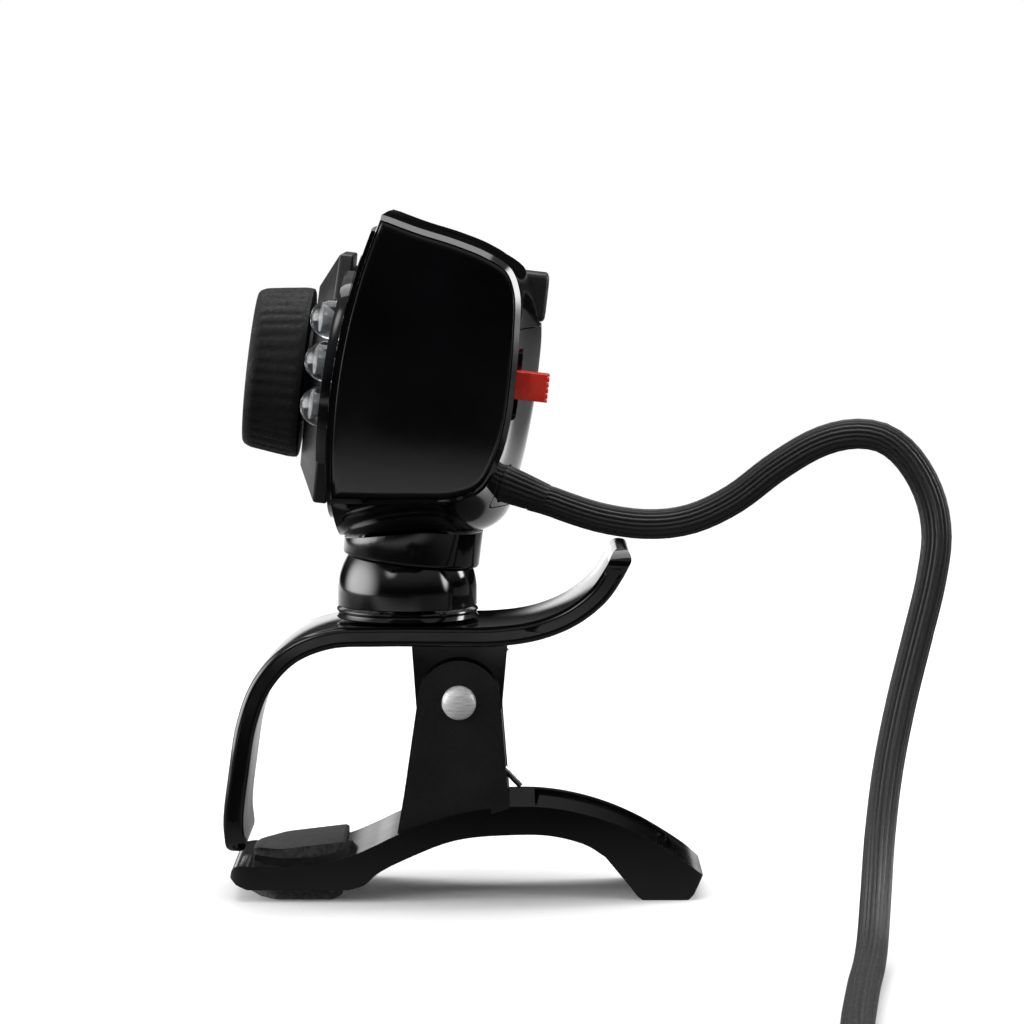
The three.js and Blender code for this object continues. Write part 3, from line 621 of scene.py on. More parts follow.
lead_points = catmull(LEAD_ROUTE, 400)
coil_points = [Vector(p) for p in coil_route()]
tail_start = [(COIL_X + 4, COIL_Y + 23.75, 4.8), (COIL_X + 9, COIL_Y + 23.6, 4.8)]
in_plug_boot = [(154.4, 8.4, 4.1)]
tail_points = catmull(tail_start + TAIL_ROUTE + in_plug_boot, 110)
inside_boot = [Vector((10.4, 7.2, 44.25))]
whole_route = inside_boot + lead_points + coil_points[4:] + tail_points
cord_path = even(whole_route, 1.25)
cord_nodes = ("cord_tube", "cord_run", "cord_coil", "cord_tail")
cord = piece("cord", sweep(cord_path, cord_section()), CORD, None, cord_nodes)
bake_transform(cord)


PLUG_X, PLUG_Z = 155, 4.1


def plug_parts():
    x, z = PLUG_X, PLUG_Z
    made = []
    boot = [(0, 0), (2.95, 0)]
    for k in range(6):
        y = 0.5 + 1.25 * k
        r = 2.95 - 0.12 * k
        boot += [(r, y), (r, y + 0.65), (r - 0.45, y + 0.8), (r - 0.45, y + 1.1)]
    boot += [(2.1, 8.3), (1.8, 8.5), (0, 8.5)]
    place = Matrix.Translation((x - 0.6, 1.8, z))
    grip = piece("plug_boot_grip", lathe(boot, "Y", 40), RUBBER, "neck", ("plug_boot",), place, bevel=0.08)
    made.append(grip)
    outline = round_corners([(x - 7.8, 0.1), (x + 7.8, 0.1), (x + 7.8, 8.1), (x - 7.8, 8.1)], 2.5, 8)
    grips = [box(x - 5, x + 5, -13 + 2.2 * k, -12 + 2.2 * k, 7.75, 9) for k in range(5)]
    housing = extrude(outline, -21, 1.5, "Y")
    made.append(piece("plug_housing", housing, CORD, "neck", ("plug_body",), carved=grips, bevel=0.35))
    shell = box(x - 6, x + 6, -33.5, -21.3, z - 2.25, z + 2.25)
    hollow = box(x - 5.6, x + 5.6, -35, -20, z - 1.85, z + 1.85)
    windows = [box(x + side * 2.7 - 1.1, x + side * 2.7 + 1.1, -30.6, -28.2, z, 9) for side in (-1, 1)]
    holes = [hollow, *windows]
    sleeve = piece("plug_sleeve", shell, STEEL, "neck", ("plug_shell",), carved=holes, bevel=0.12, segments=2)
    made.append(sleeve)
    tongue = box(x - 5.2, x + 5.2, -32.9, -21.3, z - 1.5, z + 0.3)
    made.append(piece("plug_insert", tongue, SATIN, "neck", ("plug_tongue",), bevel=0.15))
    for k in range(4):
        cx = x - 3.6 + 2.4 * k
        strip = box(cx - 0.5, cx + 0.5, -32.2, -23, z + 0.28, z + 0.42)
        made.append(piece(f"plug_contact_{k + 1}", strip, STEEL, "neck", bevel=0.05, segments=2))
    return made


def tie_piece():
    """Hook-and-loop band over the coil, with its overlapped end."""
    low, high, top = COIL_X + 8, COIL_X + 25.9, 6.7
    band = 0.7
    left, right, over = low - band, high + band, top + band
    outer = round_corners([(left, 0), (right, 0), (right, over), (left, over)], 1.2)
    # The points on the floor itself are left out.
    outer = [p for p in outer if p[1] >= 0.02]
    inner = round_corners([(low, -1), (high, -1), (high, top), (low, top)], 0.8)
    shape = extrude(outer, COIL_Y - 4, COIL_Y + 4, "Y")
    tool = extrude(inner, COIL_Y - 5, COIL_Y + 5, "Y")
    tie = piece("tie_band", shape, RUBBER, "neck", ("cable_tie",), carved=[tool], bevel=0.15)
    flap = box(low + 3, low + 12, COIL_Y - 3.6, COIL_Y + 3.6, top + 0.65, top + 0.79)
    return [tie, piece("tie_flap", flap, RUBBER, "neck", bevel=0.1)]


plug_pieces = plug_parts()
tie_pieces = tie_piece()

# ---------- head outlines ----------

RIM_X, SIDE_X, WALL = 19.4, 20.2, 1.5
# Side views as (y, z), from the front of the top, over the back, to the front of the underside: at the head's
# middle, and at its side rim.
MIDDLE = [
    (-6.6, 40.7), (-3, 39.9), (1.5, 39), (5.4, 37.9), (8.6, 36.4), (10.4, 33.8), (11.3, 30), (11.5, 25.5),
    (11.3, 19.5), (10.8, 14.5), (9.9, 9.8), (7.6, 7.7), (1, 6.7), (-4.5, 5.7), (-7.7, 5.3),
]
RIM = [
    (-6.4, 40.6), (-2.8, 39.7), (1.3, 38.9), (4.8, 37.9), (7.2, 36.6), (8.4, 34.2), (8.8, 30.5), (9, 25.5),
    (8.9, 20.5), (8.3, 16.8), (6.9, 13.5), (4.2, 11.9), (-0.5, 11.2), (-5, 10.7), (-8.4, 10.4),
]


def front_edge(z):
    return -9.45 + 0.0073 * (z - 21) ** 2


def head_outline(x, steps):
    across = min(abs(x) / RIM_X, 1)
    dome = 0.5 + 0.5 * math.cos(math.pi * across)
    arch = 1 - across * across
    last = len(MIDDLE) - 1
    pairs = []
    for i, ((y, z), (ry, rz)) in enumerate(zip(MIDDLE, RIM)):
        weight = lerp(dome, arch, smoothstep(i, last - 6, last - 2))
        pairs.append((lerp(ry, y, weight), lerp(rz, z, weight)))
    return smooth(pairs, steps)


def head_ring(x, inset, front_inset=None, steps=84):
    front_inset = inset if front_inset is None else front_inset
    open_line = offset(head_outline(x, steps), -inset)
    top, bottom = open_line[0][1], open_line[-1][1]
    edge = []
    for i in range(17):
        z = lerp(bottom, top, i / 16)
        edge.append((front_edge(z) + front_inset, z))
    return open_line[1:-1] + edge


def at_x(x, outline):
    return [(x, y, z) for y, z in outline]


def head_body(grow=0.0):
    xs = [RIM_X * math.sin(math.pi / 2 * k / 14) for k in range(15)]
    right = [at_x(x, head_ring(x, -grow)) for x in xs]
    right.append(at_x(SIDE_X + grow, head_ring(SIDE_X, 0.55 - grow, 0.1 - grow)))
    left = [[(-x, y, z) for x, y, z in ring] for ring in reversed(right[1:])]
    return loft(left + right)


def head_cavity():
    rings = []
    for k in range(-9, 10):
        x = 18.2 * k / 9
        line = offset(head_outline(x, 60), -WALL)
        rings.append(at_x(x, line + [(-14, line[-1][1]), (-14, line[0][1])]))
    return loft(rings)


DOOR = [(-17.6, 30.4), (-17.6, 17.5), (-12.5, 11), (12.5, 11), (17.6, 17.5), (17.6, 30.4)]


def door_prism(grow):
    outline = [(x + grow * math.copysign(1, x), z + grow * math.copysign(1, z - 20.7)) for x, z in DOOR]
    return extrude(round_corners(outline, 0.9), 3.5, 14, "Y")


def bore_y(x, z, radius, segments=48):
    verts, faces = lathe([(0, -25), (radius, -25), (radius, 20), (0, 20)], "Y", segments)
    return [(vx + x, vy, vz + z) for vx, vy, vz in verts], faces


def socket():
    """The round space that the neck's ball turns in."""
    steps = 24
    turns = [math.pi * k / steps for k in range(steps + 1)]
    profile = [(SOCKET_R * math.sin(a), -SOCKET_R * math.cos(a)) for a in turns]
    return lathe(profile, "Z", 64)


# ---------- head pieces ----------

SCREWS = [(-14.2, 26.5), (-9.5, 14.5)]


def shell_piece():
    recess = [extrude(head_ring(SIDE_X, 0.6, 0.18), *span, "X") for span in ((19, 22), (-22, -19))]
    button_hole = box(-3.9, 3.9, 6.2, 13, 30.5, 36.3)
    carved = [head_cavity(), door_prism(0), button_hole, *recess, socket()]
    piece("shell", head_body(), GLOSS, "head", ("front_shell",), HEAD, sharp=28, carved=carved)


def cover_piece():
    obj = place_mesh("cover", *head_body(), HEAD)
    carve(obj, place_mesh("cover_cavity", *head_cavity(), HEAD))
    carve(obj, place_mesh("cover_door", *door_prism(-0.12), HEAD), operation="INTERSECT")
    slot = round_corners([(13.5, 20.8), (17.5, 20.8), (17.5, 28.3), (13.5, 28.3)], 0.6)
    tools = [extrude(slot, 5, 13, "Y")] + [bore_y(x, z, 1.4, 32) for x, z in SCREWS]
    tools = [place_mesh("cover_tool", *tool, HEAD) for tool in tools]
    boot_hole = lathe([(0, -5), (2.13, -5), (2.13, 6), (0, 6)], "Y", 40)
    tools.append(place_mesh("cover_boot", *boot_hole, BOOT))
    carve(obj, *tools)
    finish_piece(obj, GLOSS, 28)
    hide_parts("rear_cover")
    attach(obj, "head")


def side_panel(side):
    """Polished side panel, crowned a little from top to foot."""
    outline = head_ring(SIDE_X, 0.68, 0.26)
    cy = sum(y for y, z in outline) / len(outline)
    low, high = min(z for y, z in outline), max(z for y, z in outline)
    cz, half = (low + high) / 2, (high - low) / 2

    def ring(share, sink):
        out = []
        for y, z in outline:
            y, z = cy + (y - cy) * share, cz + (z - cz) * share
            out.append((side * (20.8 - 0.45 * ((z - cz) / half) ** 2 - sink), y, z))
        return out

    rings = [at_x(side * 19.3, outline), ring(1, 0.2), ring(0.996, 0.08), ring(0.985, 0.02)]
    rings += [ring(share, 0) for share in (0.97, 0.94, 0.88, 0.8, 0.7, 0.58, 0.44, 0.28, 0.1)]
    names = {1: ("panel_left", "side_panel_left"), -1: ("panel_right", "side_panel_right")}
    name, stands = names[side]
    piece(name, loft(rings), GLOSS, "head", (stands,), HEAD, sharp=40)


def plate_bulge(x, z):
    return 0.35 + 0.9 * (1 - (x / 20) ** 2) * (1 - ((z - LENS_Z) / 24) ** 2)


def collar_outline(grow, scale=1.0):
    w, h = 10.2 * scale + grow, 13.4 * scale + grow
    cx, cz = 5.6 * scale, 5 * scale
    z = LENS_Z
    return [
        (w, z - cz), (w, z + cz), (cx, z + h), (-cx, z + h),
        (-w, z + cz), (-w, z - cz), (-cx, z - h), (cx, z - h),
    ]


LED_SEATS = [(12.5, 6.7), (14.6, 2.3), (14.4, -2.4)]
LED_R = 2.15
LED_PLACES = [(side * x, LENS_Z + up) for side in (1, -1) for x, up in LED_SEATS]


def plate_piece():
    columns, rows, half, top = 56, 48, 17.8, 38.8
    rings = []
    for i in range(columns + 1):
        x = lerp(-half, half, i / columns)
        bottom = head_outline(x, 40)[-1][1] + WALL + 0.3
        front = []
        back = []
        for j in range(rows + 1):
            z = lerp(bottom, top, j / rows)
            y = front_edge(z) - plate_bulge(x, z)
            front.append((x, y, z))
            back.append((x, y + 1.4, z))
        rings.append(front + back[::-1])
    collar_hole = extrude(collar_outline(0.25), -14, -9.3, "Y")
    carved = [bore_y(0, LENS_Z, 7.2, 72), collar_hole, bore_y(0, 37.3, 0.5, 24)]
    carved += [bore_y(x, z, LED_R + 0.12, 40) for x, z in LED_PLACES]
    piece("plate", loft(rings), GLOSS, "head", ("front_plate",), HEAD, sharp=30, carved=carved)


def trim_piece(side):
    outer = smooth([(9.4, 34.2), (13.2, 33.4), (16, 31.7), (17.8, 25), (17.6, 19), (13.3, 13.8)], 48)
    inner = smooth([(9.6, 33.4), (12.9, 32.6), (15.3, 31.2), (17.1, 25), (16.9, 19.2), (13, 14.6)], 48)
    rings = []
    for (ox, oz), (ix, iz) in zip(outer, inner):
        ring = []
        for share, rise in ((0, 0), (0.06, 0.7), (0.3, 1.15), (0.7, 1.15), (0.94, 0.7), (1, 0)):
            x, z = lerp(ox, ix, share), lerp(oz, iz, share)
            ring.append((side * x, front_edge(z) - plate_bulge(x, z) - 0.05 - rise * 0.85, z))
        rings.append(ring)
    name, stands = ("trim_left", "led_trim_left") if side > 0 else ("trim_right", "led_trim_right")
    piece(name, loft(rings), GLOSS, "head", (stands,), HEAD, sharp=50)


def lamp_piece(index, x, z):
    """A clear round lamp, with the pale reflector cup and die that are moulded inside it."""
    place = HEAD @ Matrix.Translation((x, 0, z))
    profile = [(0, -6.9), (LED_R, -6.9), (LED_R, -10.7)]
    steps = 14
    for k in range(1, steps + 1):
        angle = math.pi / 2 * k / steps
        radius = 0 if k == steps else LED_R * math.cos(angle)
        profile.append((radius, -10.95 - (LED_R + 0.04) * math.sin(angle)))
    piece(f"lamp_{index}", lathe(profile, "Y", 48), CLEAR, "head", (f"led_{index}",), place, sharp=60)
    cup = [
        (0, -7.3), (0.3, -7.3), (0.32, -10.2), (0.55, -10.7), (0.95, -11.45), (0.98, -11.65), (0.85, -11.68),
        (0.45, -11.2), (0.2, -11.1), (0.18, -11.25), (0, -11.28),
    ]
    piece(f"lamp_cup_{index}", lathe(cup, "Y", 32), WHITE, "head", (), place, sharp=40)


def collar_piece():
    def ring(outline, y):
        return [(x, y, z) for x, z in outline]

    shape = loft([
        ring(collar_outline(0), -9.6),
        ring(collar_outline(0), -11.0),
        ring(collar_outline(0, 0.72), -12.9),
    ])
    bore = [bore_y(0, LENS_Z, 5.6, 72)]
    piece("collar", shape, SATIN, "head", ("lens_collar",), HEAD, bevel=0.22, carved=bore)


def ring_piece():
    """Focus ring: tapered rubber grip with fine ribs along its axis."""
    profile = [
        (5.3, -13.4), (8.9, -13.4), (9.15, -13.55), (9.2, -13.9), (9.2, -14.2), (9.2, -14.5), (8.95, -16.5),
        (8.7, -18.3), (8.65, -18.6), (8.55, -18.9), (8.35, -19.3), (8.1, -19.5), (6.9, -19.5), (6.7, -19.4),
        (5.3, -17.5),
    ]
    ribbed = {5, 6, 7}
    ribs = 40

    def wave(angle, index):
        if index not in ribbed:
            return 0
        drift = 0.25 * math.sin(5 * angle + index) + 0.2 * math.sin(9 * angle)
        return -0.11 * (0.5 + 0.5 * math.cos(ribs * angle + drift * 3)) ** 2

    shape = lathe(profile, "Y", ribs * 8, wave)
    piece("grip", shape, RUBBER, "focus_ring", ("focus_ring",), LENS, sharp=45)


def barrel_piece():
    profile = [(5.0, -4), (5.0, -17.1), (4.9, -17.2), (4.5, -17.2), (4.4, -17.1)]
    for k in range(5):
        r = 4.2 - 0.34 * k
        y = -16.9 + 0.36 * k
        profile += [(r, y), (r, y + 0.18), (r - 0.12, y + 0.2)]
    profile += [(2.65, -15.3), (2.65, -15.1), (4.0, -15.1), (4.0, -4)]
    piece("barrel", lathe(profile, "Y", 72), SATIN, "focus_ring", ("lens_barrel",), LENS, sharp=30)


def glass_piece():
    profile = [(0, -14.95)]
    for k in range(1, 9):
        r = 3.7 * k / 8
        profile.append((r, -14.95 + 0.6 * (r / 3.7) ** 2))
    profile += [(3.7, -13.6), (2, -13.3), (0, -13.2)]
    piece("lens", lathe(profile, "Y", 56), OPTIC, "focus_ring", ("lens_glass",), LENS, sharp=40)


def button_piece():
    cap = round_corners([(-3.6, 30.8), (3.6, 30.8), (3.6, 36), (-3.6, 36)], 0.7)
    rings = [[(x, y, z) for x, z in cap] for y in (7.0, 11.1)]
    for share, y in ((0.96, 11.33), (0.85, 11.45), (0.6, 11.5)):
        rings.append([(x * share, y, 33.4 + (z - 33.4) * share) for x, z in cap])
    shape = loft(rings)
    piece("button", shape, SATIN, "snapshot_button", ("snapshot_button",), HEAD, sharp=40, bevel=0.12)


def slider_piece():
    cap = box(13.8, 17.2, 5.9, 12.5, 23.1, 26.0)
    grooves = [box(13, 18, 12.25, 14, 23.3 + 0.58 * k, 23.52 + 0.58 * k) for k in range(5)]
    piece("slider", cap, RED, "led_slider", ("led_slider",), HEAD, bevel=0.14, carved=grooves)


def screw_piece(index, x, z):
    profile = [(0, 3), (0.7, 3), (0.7, 7.4), (1.1, 7.8), (1.1, 8.2), (1.0, 8.3), (0, 8.3)]
    cross = [box(-0.7, 0.7, 8.0, 9, -0.12, 0.12), box(-0.12, 0.12, 8.0, 9, -0.7, 0.7)]
    place = HEAD @ Matrix.Translation((x, 0, z))
    stands = (f"cover_screw_{index}",)
    piece(f"screw_{index}", lathe(profile, "Y", 32), STEEL, "head", stands, place, carved=cross)


def boot_piece():
    """Short sleeve that the lead leaves through, ribbed lengthwise like the lead itself."""
    profile = [
        (0, -3.6), (2.45, -3.6), (2.45, -2.9), (2.08, -2.7), (2.08, -0.4), (2.02, 0.6),
        (1.92, 2.0), (1.8, 3.4), (1.68, 4.6), (1.59, 5.5), (1.3, 5.5), (0, 5.5),
    ]
    ribbed = {5, 6, 7, 8}

    def wave(angle, index):
        return -0.14 * (0.5 + 0.5 * math.cos(20 * angle)) ** 2 if index in ribbed else 0

    piece("boot", lathe(profile, "Y", 120, wave), CORD, "head", ("cable_boot",), BOOT, sharp=50)


def skirt_piece():
    profile = [(0, 3.45), (7.3, 3.45), (7.4, 3.55), (7.48, 3.8), (7.5, 9.5), (0, 9.5)]
    obj = place_mesh("skirt", *lathe(profile, "Z", 96), HEAD)
    below = place_mesh("skirt_tool", *head_body(), HEAD @ Matrix.Translation((0, 0, -0.3)))
    ball = place_mesh("skirt_socket", *socket(), HEAD)
    carve(obj, below, ball)
    finish_piece(obj, GLOSS, 35, 0.12)
    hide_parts("head_collar")
    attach(obj, "head")


shell_piece()
cover_piece()
side_panel(1)
side_panel(-1)
plate_piece()
trim_piece(1)
trim_piece(-1)
for number, (led_x, led_z) in enumerate(LED_PLACES, 1):
    lamp_piece(number, led_x, led_z)
collar_piece()
ring_piece()
barrel_piece()
glass_piece()
button_piece()
slider_piece()
for number, (screw_x, screw_z) in enumerate(SCREWS, 1):
    screw_piece(number, screw_x, screw_z)
boot_piece()
skirt_piece()

# ---------- neck ----------


def dome(radius, steps=28):
    """A half ball's profile, from its top out to its rim."""
    turns = [math.pi / 2 * k / steps for k in range(steps + 1)]
    return [(radius * math.sin(a), radius * math.cos(a)) for a in turns]


def ball_piece():
    column = [(BALL_R, -1.45), (7.5, -1.55), (3, -1.55), (3, -3.9), (1.6, -3.9), (1.6, -1), (5.6, -0.2)]
    hollow_r = 6
    profile = dome(BALL_R) + column + dome(hollow_r)[::-1]
    slot = box(-1.55, 1.55, -4, 4.7, 3, 9)
    shape = lathe(profile, "Z", 96)
    piece("ball", shape, GLOSS, "neck", ("neck_ball",), NECK, sharp=35, carved=[slot])


def base_ring():
    profile = [
        (3.4, -2.85), (7.6, -2.85), (7.75, -2.7), (7.62, -2.5), (7.52, -2.3), (7.62, -2.1), (7.75, -1.98),
        (7.68, -1.85), (3.4, -1.85),
    ]
    piece("base_ring", lathe(profile, "Z", 96), GLOSS, "neck", ("neck_base",), NECK, sharp=40)


ball_piece()
base_ring()

# ---------- clip ----------

# Side views as (y, z): the upper jaw's middle line, then the lower jaw's top and the underside of its arch.
UPPER = [
    (-24.6, 6.2), (-24.8, 8.7), (-24.2, 14), (-23.3, 19.4), (-21.7, 23.5), (-18.7, 26.8), (-14.6, 28.5),
    (-9, 28.8), (-2, 28.8), (3.6, 28.85), (7.9, 29.5), (11.6, 31), (14.5, 33.3), (16.1, 35.6), (16.9, 37.1),
]
LOWER_TOP = [
    (-25.2, 3), (-24.6, 3.8), (-21.3, 3.9), (-16.3, 4.15), (-12.8, 4.85), (-9.8, 6.1), (-7.3, 7.3),
    (-3.5, 8.7), (0.5, 9.7), (5, 10.2), (9.2, 10.1), (14.1, 9.1), (18.9, 7.2), (24, 4.1), (25.9, 2.6),
]
LOWER_UNDER = [
    (15.3, 4.7), (13.2, 6), (9.4, 7), (5, 7.1), (-0.9, 6.6), (-5.5, 5), (-9.2, 3.2), (-10.7, 1.9),
    (-12.4, 1.35),
]
JAW_HALF = 8
STRIP_HALF = 1.1


def pin_hole():
    profile = [(0, -12), (1.55, -12), (1.55, 12), (0, 12)]
    return place_mesh("pin_hole", *lathe(profile, "X", 32), HINGE)


def round_end(end, before, radius, steps=10):
    forward = math.atan2(end[1] - before[1], end[0] - before[0])
    out = []
    for k in range(1, steps):
        angle = forward + math.pi / 2 - math.pi * k / steps
        out.append((end[0] + radius * math.cos(angle), end[1] + radius * math.sin(angle)))
    return out


def strip_outline(line, half):
    """A strip of constant thickness along a line, with full round ends."""
    return (
        offset(line, half)
        + round_end(line[-1], line[-2], half)
        + offset(line, -half)[::-1]
        + round_end(line[0], line[1], half)
    )


def upper_jaw_piece():
    line = smooth(UPPER, 150)
    edge = 0.65
    turns = [math.radians(15 * k) for k in range(7)]
    side = [(JAW_HALF - edge * (1 - math.sin(a)), STRIP_HALF - edge * (1 - math.cos(a))) for a in turns]
    stations = [(-x, half) for x, half in reversed(side)] + side
    rings = [at_x(x, strip_outline(line, half)) for x, half in stations]
    obj = place_mesh("jaw_upper", *loft(rings), WORLD)
    face = round_corners([(-JAW_HALF, 5), (JAW_HALF, 5), (JAW_HALF, 38.3), (-JAW_HALF, 38.3)], 4, 12)
    carve(obj, place_mesh("jaw_face", *extrude(face, -28, 22, "Y"), WORLD), operation="INTERSECT")
    ear = [(-5.7, 28.5)] + arc(HINGE_Y, HINGE_Z, 4.7, 180, 360, 36) + [(4.8, 28.5)]
    ears = [place_mesh("ear", *extrude(ear, *span, "X"), WORLD) for span in ((3.4, 4.9), (-4.9, -3.4))]
    carve(obj, *ears, operation="UNION")
    tools = [pin_hole()]
    for first, last in ((12, 104), (109, 144)):
        groove = strip_outline(line[first:last], 0.5)
        for span in ((7.7, 9), (-9, -7.7)):
            tools.append(place_mesh("flank", *extrude(groove, *span, "X"), WORLD))
    carve(obj, *tools)
    finish_piece(obj, GLOSS, 35, 0.16, 3)
    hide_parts("upper_jaw")
    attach(obj, "upper_jaw")


def lower_jaw_piece():
    tail = [(24.9, 0.6), (24.3, 0), (19.3, 0), (18.8, 0.4), (17.2, 2.4)]
    nose = [(-23.4, 1.35), (-24.6, 1.8), (-25.3, 2.4)]
    top_line = smooth(LOWER_TOP, 90)
    outline = top_line + tail + smooth(LOWER_UNDER, 50) + nose
    wide, narrow = JAW_HALF, 6.6
    corners = [
        (-wide, -25.4), (wide, -25.4), (wide, -8), (narrow, 3),
        (narrow, 26.4), (-narrow, 26.4), (-narrow, 3), (-wide, -8),
    ]
    plan = round_corners(corners, 3, 8)
    obj = place_mesh("jaw_lower", *extrude(outline, -wide, wide, "X"), WORLD)
    carve(obj, place_mesh("jaw_plan", *extrude(plan, -1, 14, "Z"), WORLD), operation="INTERSECT")
    foot = [(-6.5, 11.2), (-7.2, 7.2), (2.5, 9.3), (4.9, 10.05), (4.9, 10.3)]
    ear = arc(HINGE_Y, HINGE_Z, 4.5, 0, 180, 36) + foot
    ears = [place_mesh("ear", *extrude(ear, *span, "X"), WORLD) for span in ((5.2, 6.7), (-6.7, -5.2))]
    carve(obj, *ears, operation="UNION")
    hole = pin_hole()
    top = top_line[62:86]
    tray = extrude(offset(top, -0.35) + offset(top, 2)[::-1], -5.2, 5.2, "X")
    rim = round_corners([(-5.2, 6), (5.2, 6), (5.2, 22.6), (-5.2, 22.6)], 2.2, 8)
    tray = place_mesh("tray", *tray, WORLD)
    carve(tray, place_mesh("tray_plan", *extrude(rim, 0, 16, "Z"), WORLD), operation="INTERSECT")
    carve(obj, hole, tray)
    finish_piece(obj, GLOSS, 35, 0.3)
    obj.data.materials.append(SATIN)
    ears_from = 0.0115
    for face in obj.data.polygons:
        if abs(face.normal.x) > 0.9 and face.center.z > ears_from:
            face.material_index = 1
    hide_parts("lower_jaw")
    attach(obj, "lower_jaw")


def pad_plan(half, front, back, corner=3.2):
    return [
        (-half, back), (-half, front + corner), (-half + corner, front), (half - corner, front),
        (half, front + corner), (half, back),
    ]


def pad_piece(name, node_name, outline, half, front, back):
    obj = place_mesh(name, *extrude(outline, -half, half, "X"), WORLD)
    plan = round_corners(pad_plan(half, front, back), 0.8, 5)
    carve(obj, place_mesh(name + "_plan", *extrude(plan, -1, 10, "Z"), WORLD), operation="INTERSECT")
    finish_piece(obj, FOAM, 35, 0.14)
    obj.data.materials.append(PAD_SKIN)
    for face in obj.data.polygons:
        if abs(face.normal.z) > 0.8:
            face.material_index = 1
    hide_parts(node_name)
    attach(obj, "lower_jaw")


def pin_piece():
    rim, start, rise = 1.85, 7.2, 0.85
    turns = [math.pi / 20 * k for k in range(1, 10)]
    half = [(1.25, 7), (rim, 7), (rim, start)]
    half += [(rim * math.cos(a), start + rise * math.sin(a)) for a in turns]
    half.append((0, 8.05))
    profile = [(r, -h) for r, h in reversed(half)] + half
    piece("pin", lathe(profile, "X", 48), RIVET, "upper_jaw", ("hinge_pin",), HINGE, sharp=50)


def spring_piece():
    radius, turns, half, per_turn = 2.35, 4.5, 2.5, 40
    points = [(-half, 4.6, 26.4), (-half, 2.6, 24.6)]
    steps = int(turns * per_turn)
    for k in range(0, steps + 1):
        angle = math.radians(40) - 2 * math.pi * turns * k / steps
        x = lerp(-half, half, k / steps)
        points.append((x, HINGE_Y + radius * math.cos(angle), HINGE_Z + radius * math.sin(angle)))
    points += [(half, 0.2, 17.2), (half, 4.2, 13.9), (half, 6.2, 11.9)]
    path = catmull(points, len(points) * 3)
    obj = piece("spring", sweep(path, circle(0.4, 12)), STEEL, None, ("torsion_spring",), sharp=50)
    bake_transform(obj)


upper_jaw_piece()
lower_jaw_piece()
jaw_pad = [(-23, 4.25), (-16.3, 4.5), (-12.8, 5.25), (-12.8, 6.1), (-13.2, 6.2), (-22.4, 5.1), (-23, 4.85)]
pad_piece("pad_jaw", "jaw_pad", jaw_pad, 5.6, -23, -12.8)
foot_pad = [(-23.6, 1.05), (-23.4, 0.5), (-22, 0.05), (-20, 0), (-14.4, 0), (-13.2, 0.5), (-13, 1.05)]
pad_piece("pad_foot", "foot_pad", foot_pad, 6.2, -23.6, -13)
pin_piece()
spring_piece()

# ---------- what stays from the frame ----------

KEPT = {
    SATIN: ("lens_holder", "image_sensor", "button_switch", "slide_switch", "microphone"),
    BOARD: ("main_board", "led_board"),
    STEEL: ("pivot_screw", "pivot_nut", "neck_screw"),
    OPTIC: ("infrared_filter",),
}
for material, names in KEPT.items():
    for name in names:
        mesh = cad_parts[name].data
        mesh.materials.clear()
        mesh.materials.append(material)

# ---------- stage ----------


def backdrop():
    floor = place_mesh("floor", *box(-1500, 1500, -1500, 1500, -20, 0), WORLD)
    floor.data.materials.append(pale_backdrop())


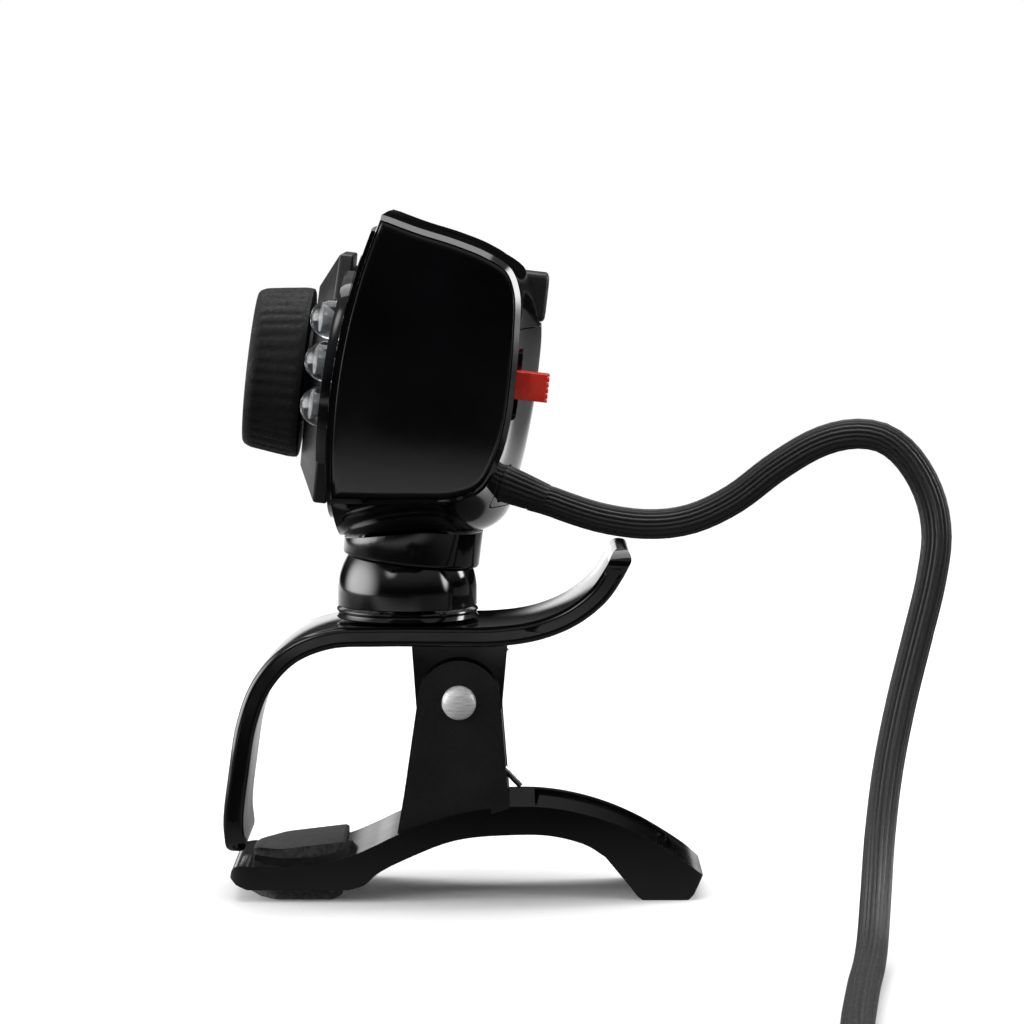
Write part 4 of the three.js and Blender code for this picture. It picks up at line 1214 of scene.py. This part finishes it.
def studio_world():
    """White to the eye; for light and reflections, a white screen low at the back and a soft ceiling."""
    world = bpy.data.worlds.new("studio")
    world.use_nodes = True
    tree = world.node_tree
    output = tree.nodes["World Output"]
    white = tree.nodes["Background"]
    white.inputs["Color"].default_value = (1, 1, 1, 1)
    white.inputs["Strength"].default_value = 1.0
    room = tree.nodes.new("ShaderNodeBackground")
    source = tree.nodes.new("ShaderNodeTexCoord")
    split = tree.nodes.new("ShaderNodeSeparateXYZ")
    tree.links.new(source.outputs["Generated"], split.inputs["Vector"])
    ceiling = ramp(tree, split.outputs["Z"], 0.05, 0.6, 0.004, 0.5)
    across = ramp(tree, split.outputs["X"], -0.97, -0.88, 1.6, 0.0)
    low = ramp(tree, split.outputs["Z"], 0.06, 0.13, 1.0, 0.0)
    left = ramp(tree, split.outputs["Y"], -0.07, -0.015, 1.0, 0.0)
    screen = times(tree, times(tree, across, low), left)
    total = tree.nodes.new("ShaderNodeMath")
    tree.links.new(screen, total.inputs[0])
    tree.links.new(ceiling, total.inputs[1])
    tree.links.new(total.outputs["Value"], room.inputs["Strength"])
    path = tree.nodes.new("ShaderNodeLightPath")
    sky = mixed(tree, path.outputs["Is Camera Ray"], room.outputs["Background"], white.outputs["Background"])
    tree.links.new(sky, output.inputs["Surface"])
    bpy.context.scene.world = world


def softbox(name, location, target, width, height, glow, edge=0.0):
    """A light of radiance glow, unseen by the camera; edge is how far in its brightness starts to fall."""
    data = bpy.data.lights.new(name, "AREA")
    data.shape = "RECTANGLE"
    data.size = width
    data.size_y = height
    data.energy = glow * math.pi * width * height
    if edge:
        data.use_nodes = True
        tree = data.node_tree
        emission = tree.nodes["Emission"]
        spot = tree.nodes.new("ShaderNodeNewGeometry")
        centre = node(tree, "ShaderNodeVectorMath")
        centre.operation = "SUBTRACT"
        centre.inputs[1].default_value = (0.5, 0.5, 0)
        tree.links.new(spot.outputs["Parametric"], centre.inputs[0])
        reach = length_of(tree, centre.outputs["Vector"])
        fall = ramp(tree, reach, 0.5 - 0.5 * edge, 0.5, 1.0, 0.0, "SMOOTHERSTEP")
        tree.links.new(fall, emission.inputs["Strength"])
    light = bpy.data.objects.new(name, data)
    light.location = location
    direction = Vector(target) - Vector(location)
    light.rotation_euler = direction.to_track_quat("-Z", "Y").to_euler()
    light.visible_camera = False
    bpy.context.scene.collection.objects.link(light)


backdrop()
studio_world()
bpy.context.scene.view_settings.view_transform = "Standard"
softbox("top_box", (-0.2, 0.0, 0.9), (0, 0, 0), 0.9, 0.9, 3.2)
softbox("left_box", (0.03, -0.55, 0.12), (0, 0, 0.045), 1.1, 0.9, 8.5, 0.95)
softbox("fill_box", (0.6, -0.35, 0.5), (0, 0, 0.045), 0.4, 0.4, 5.0, 0.9)
softbox("right_strip", (0.2, 0.5, 0.2), (0, 0, 0.045), 0.16, 0.42, 12.0, 0.9)
softbox("rim_strip", (-0.11, 0.3, 0.16), (0, 0, 0.05), 0.1, 0.36, 12.0, 0.6)
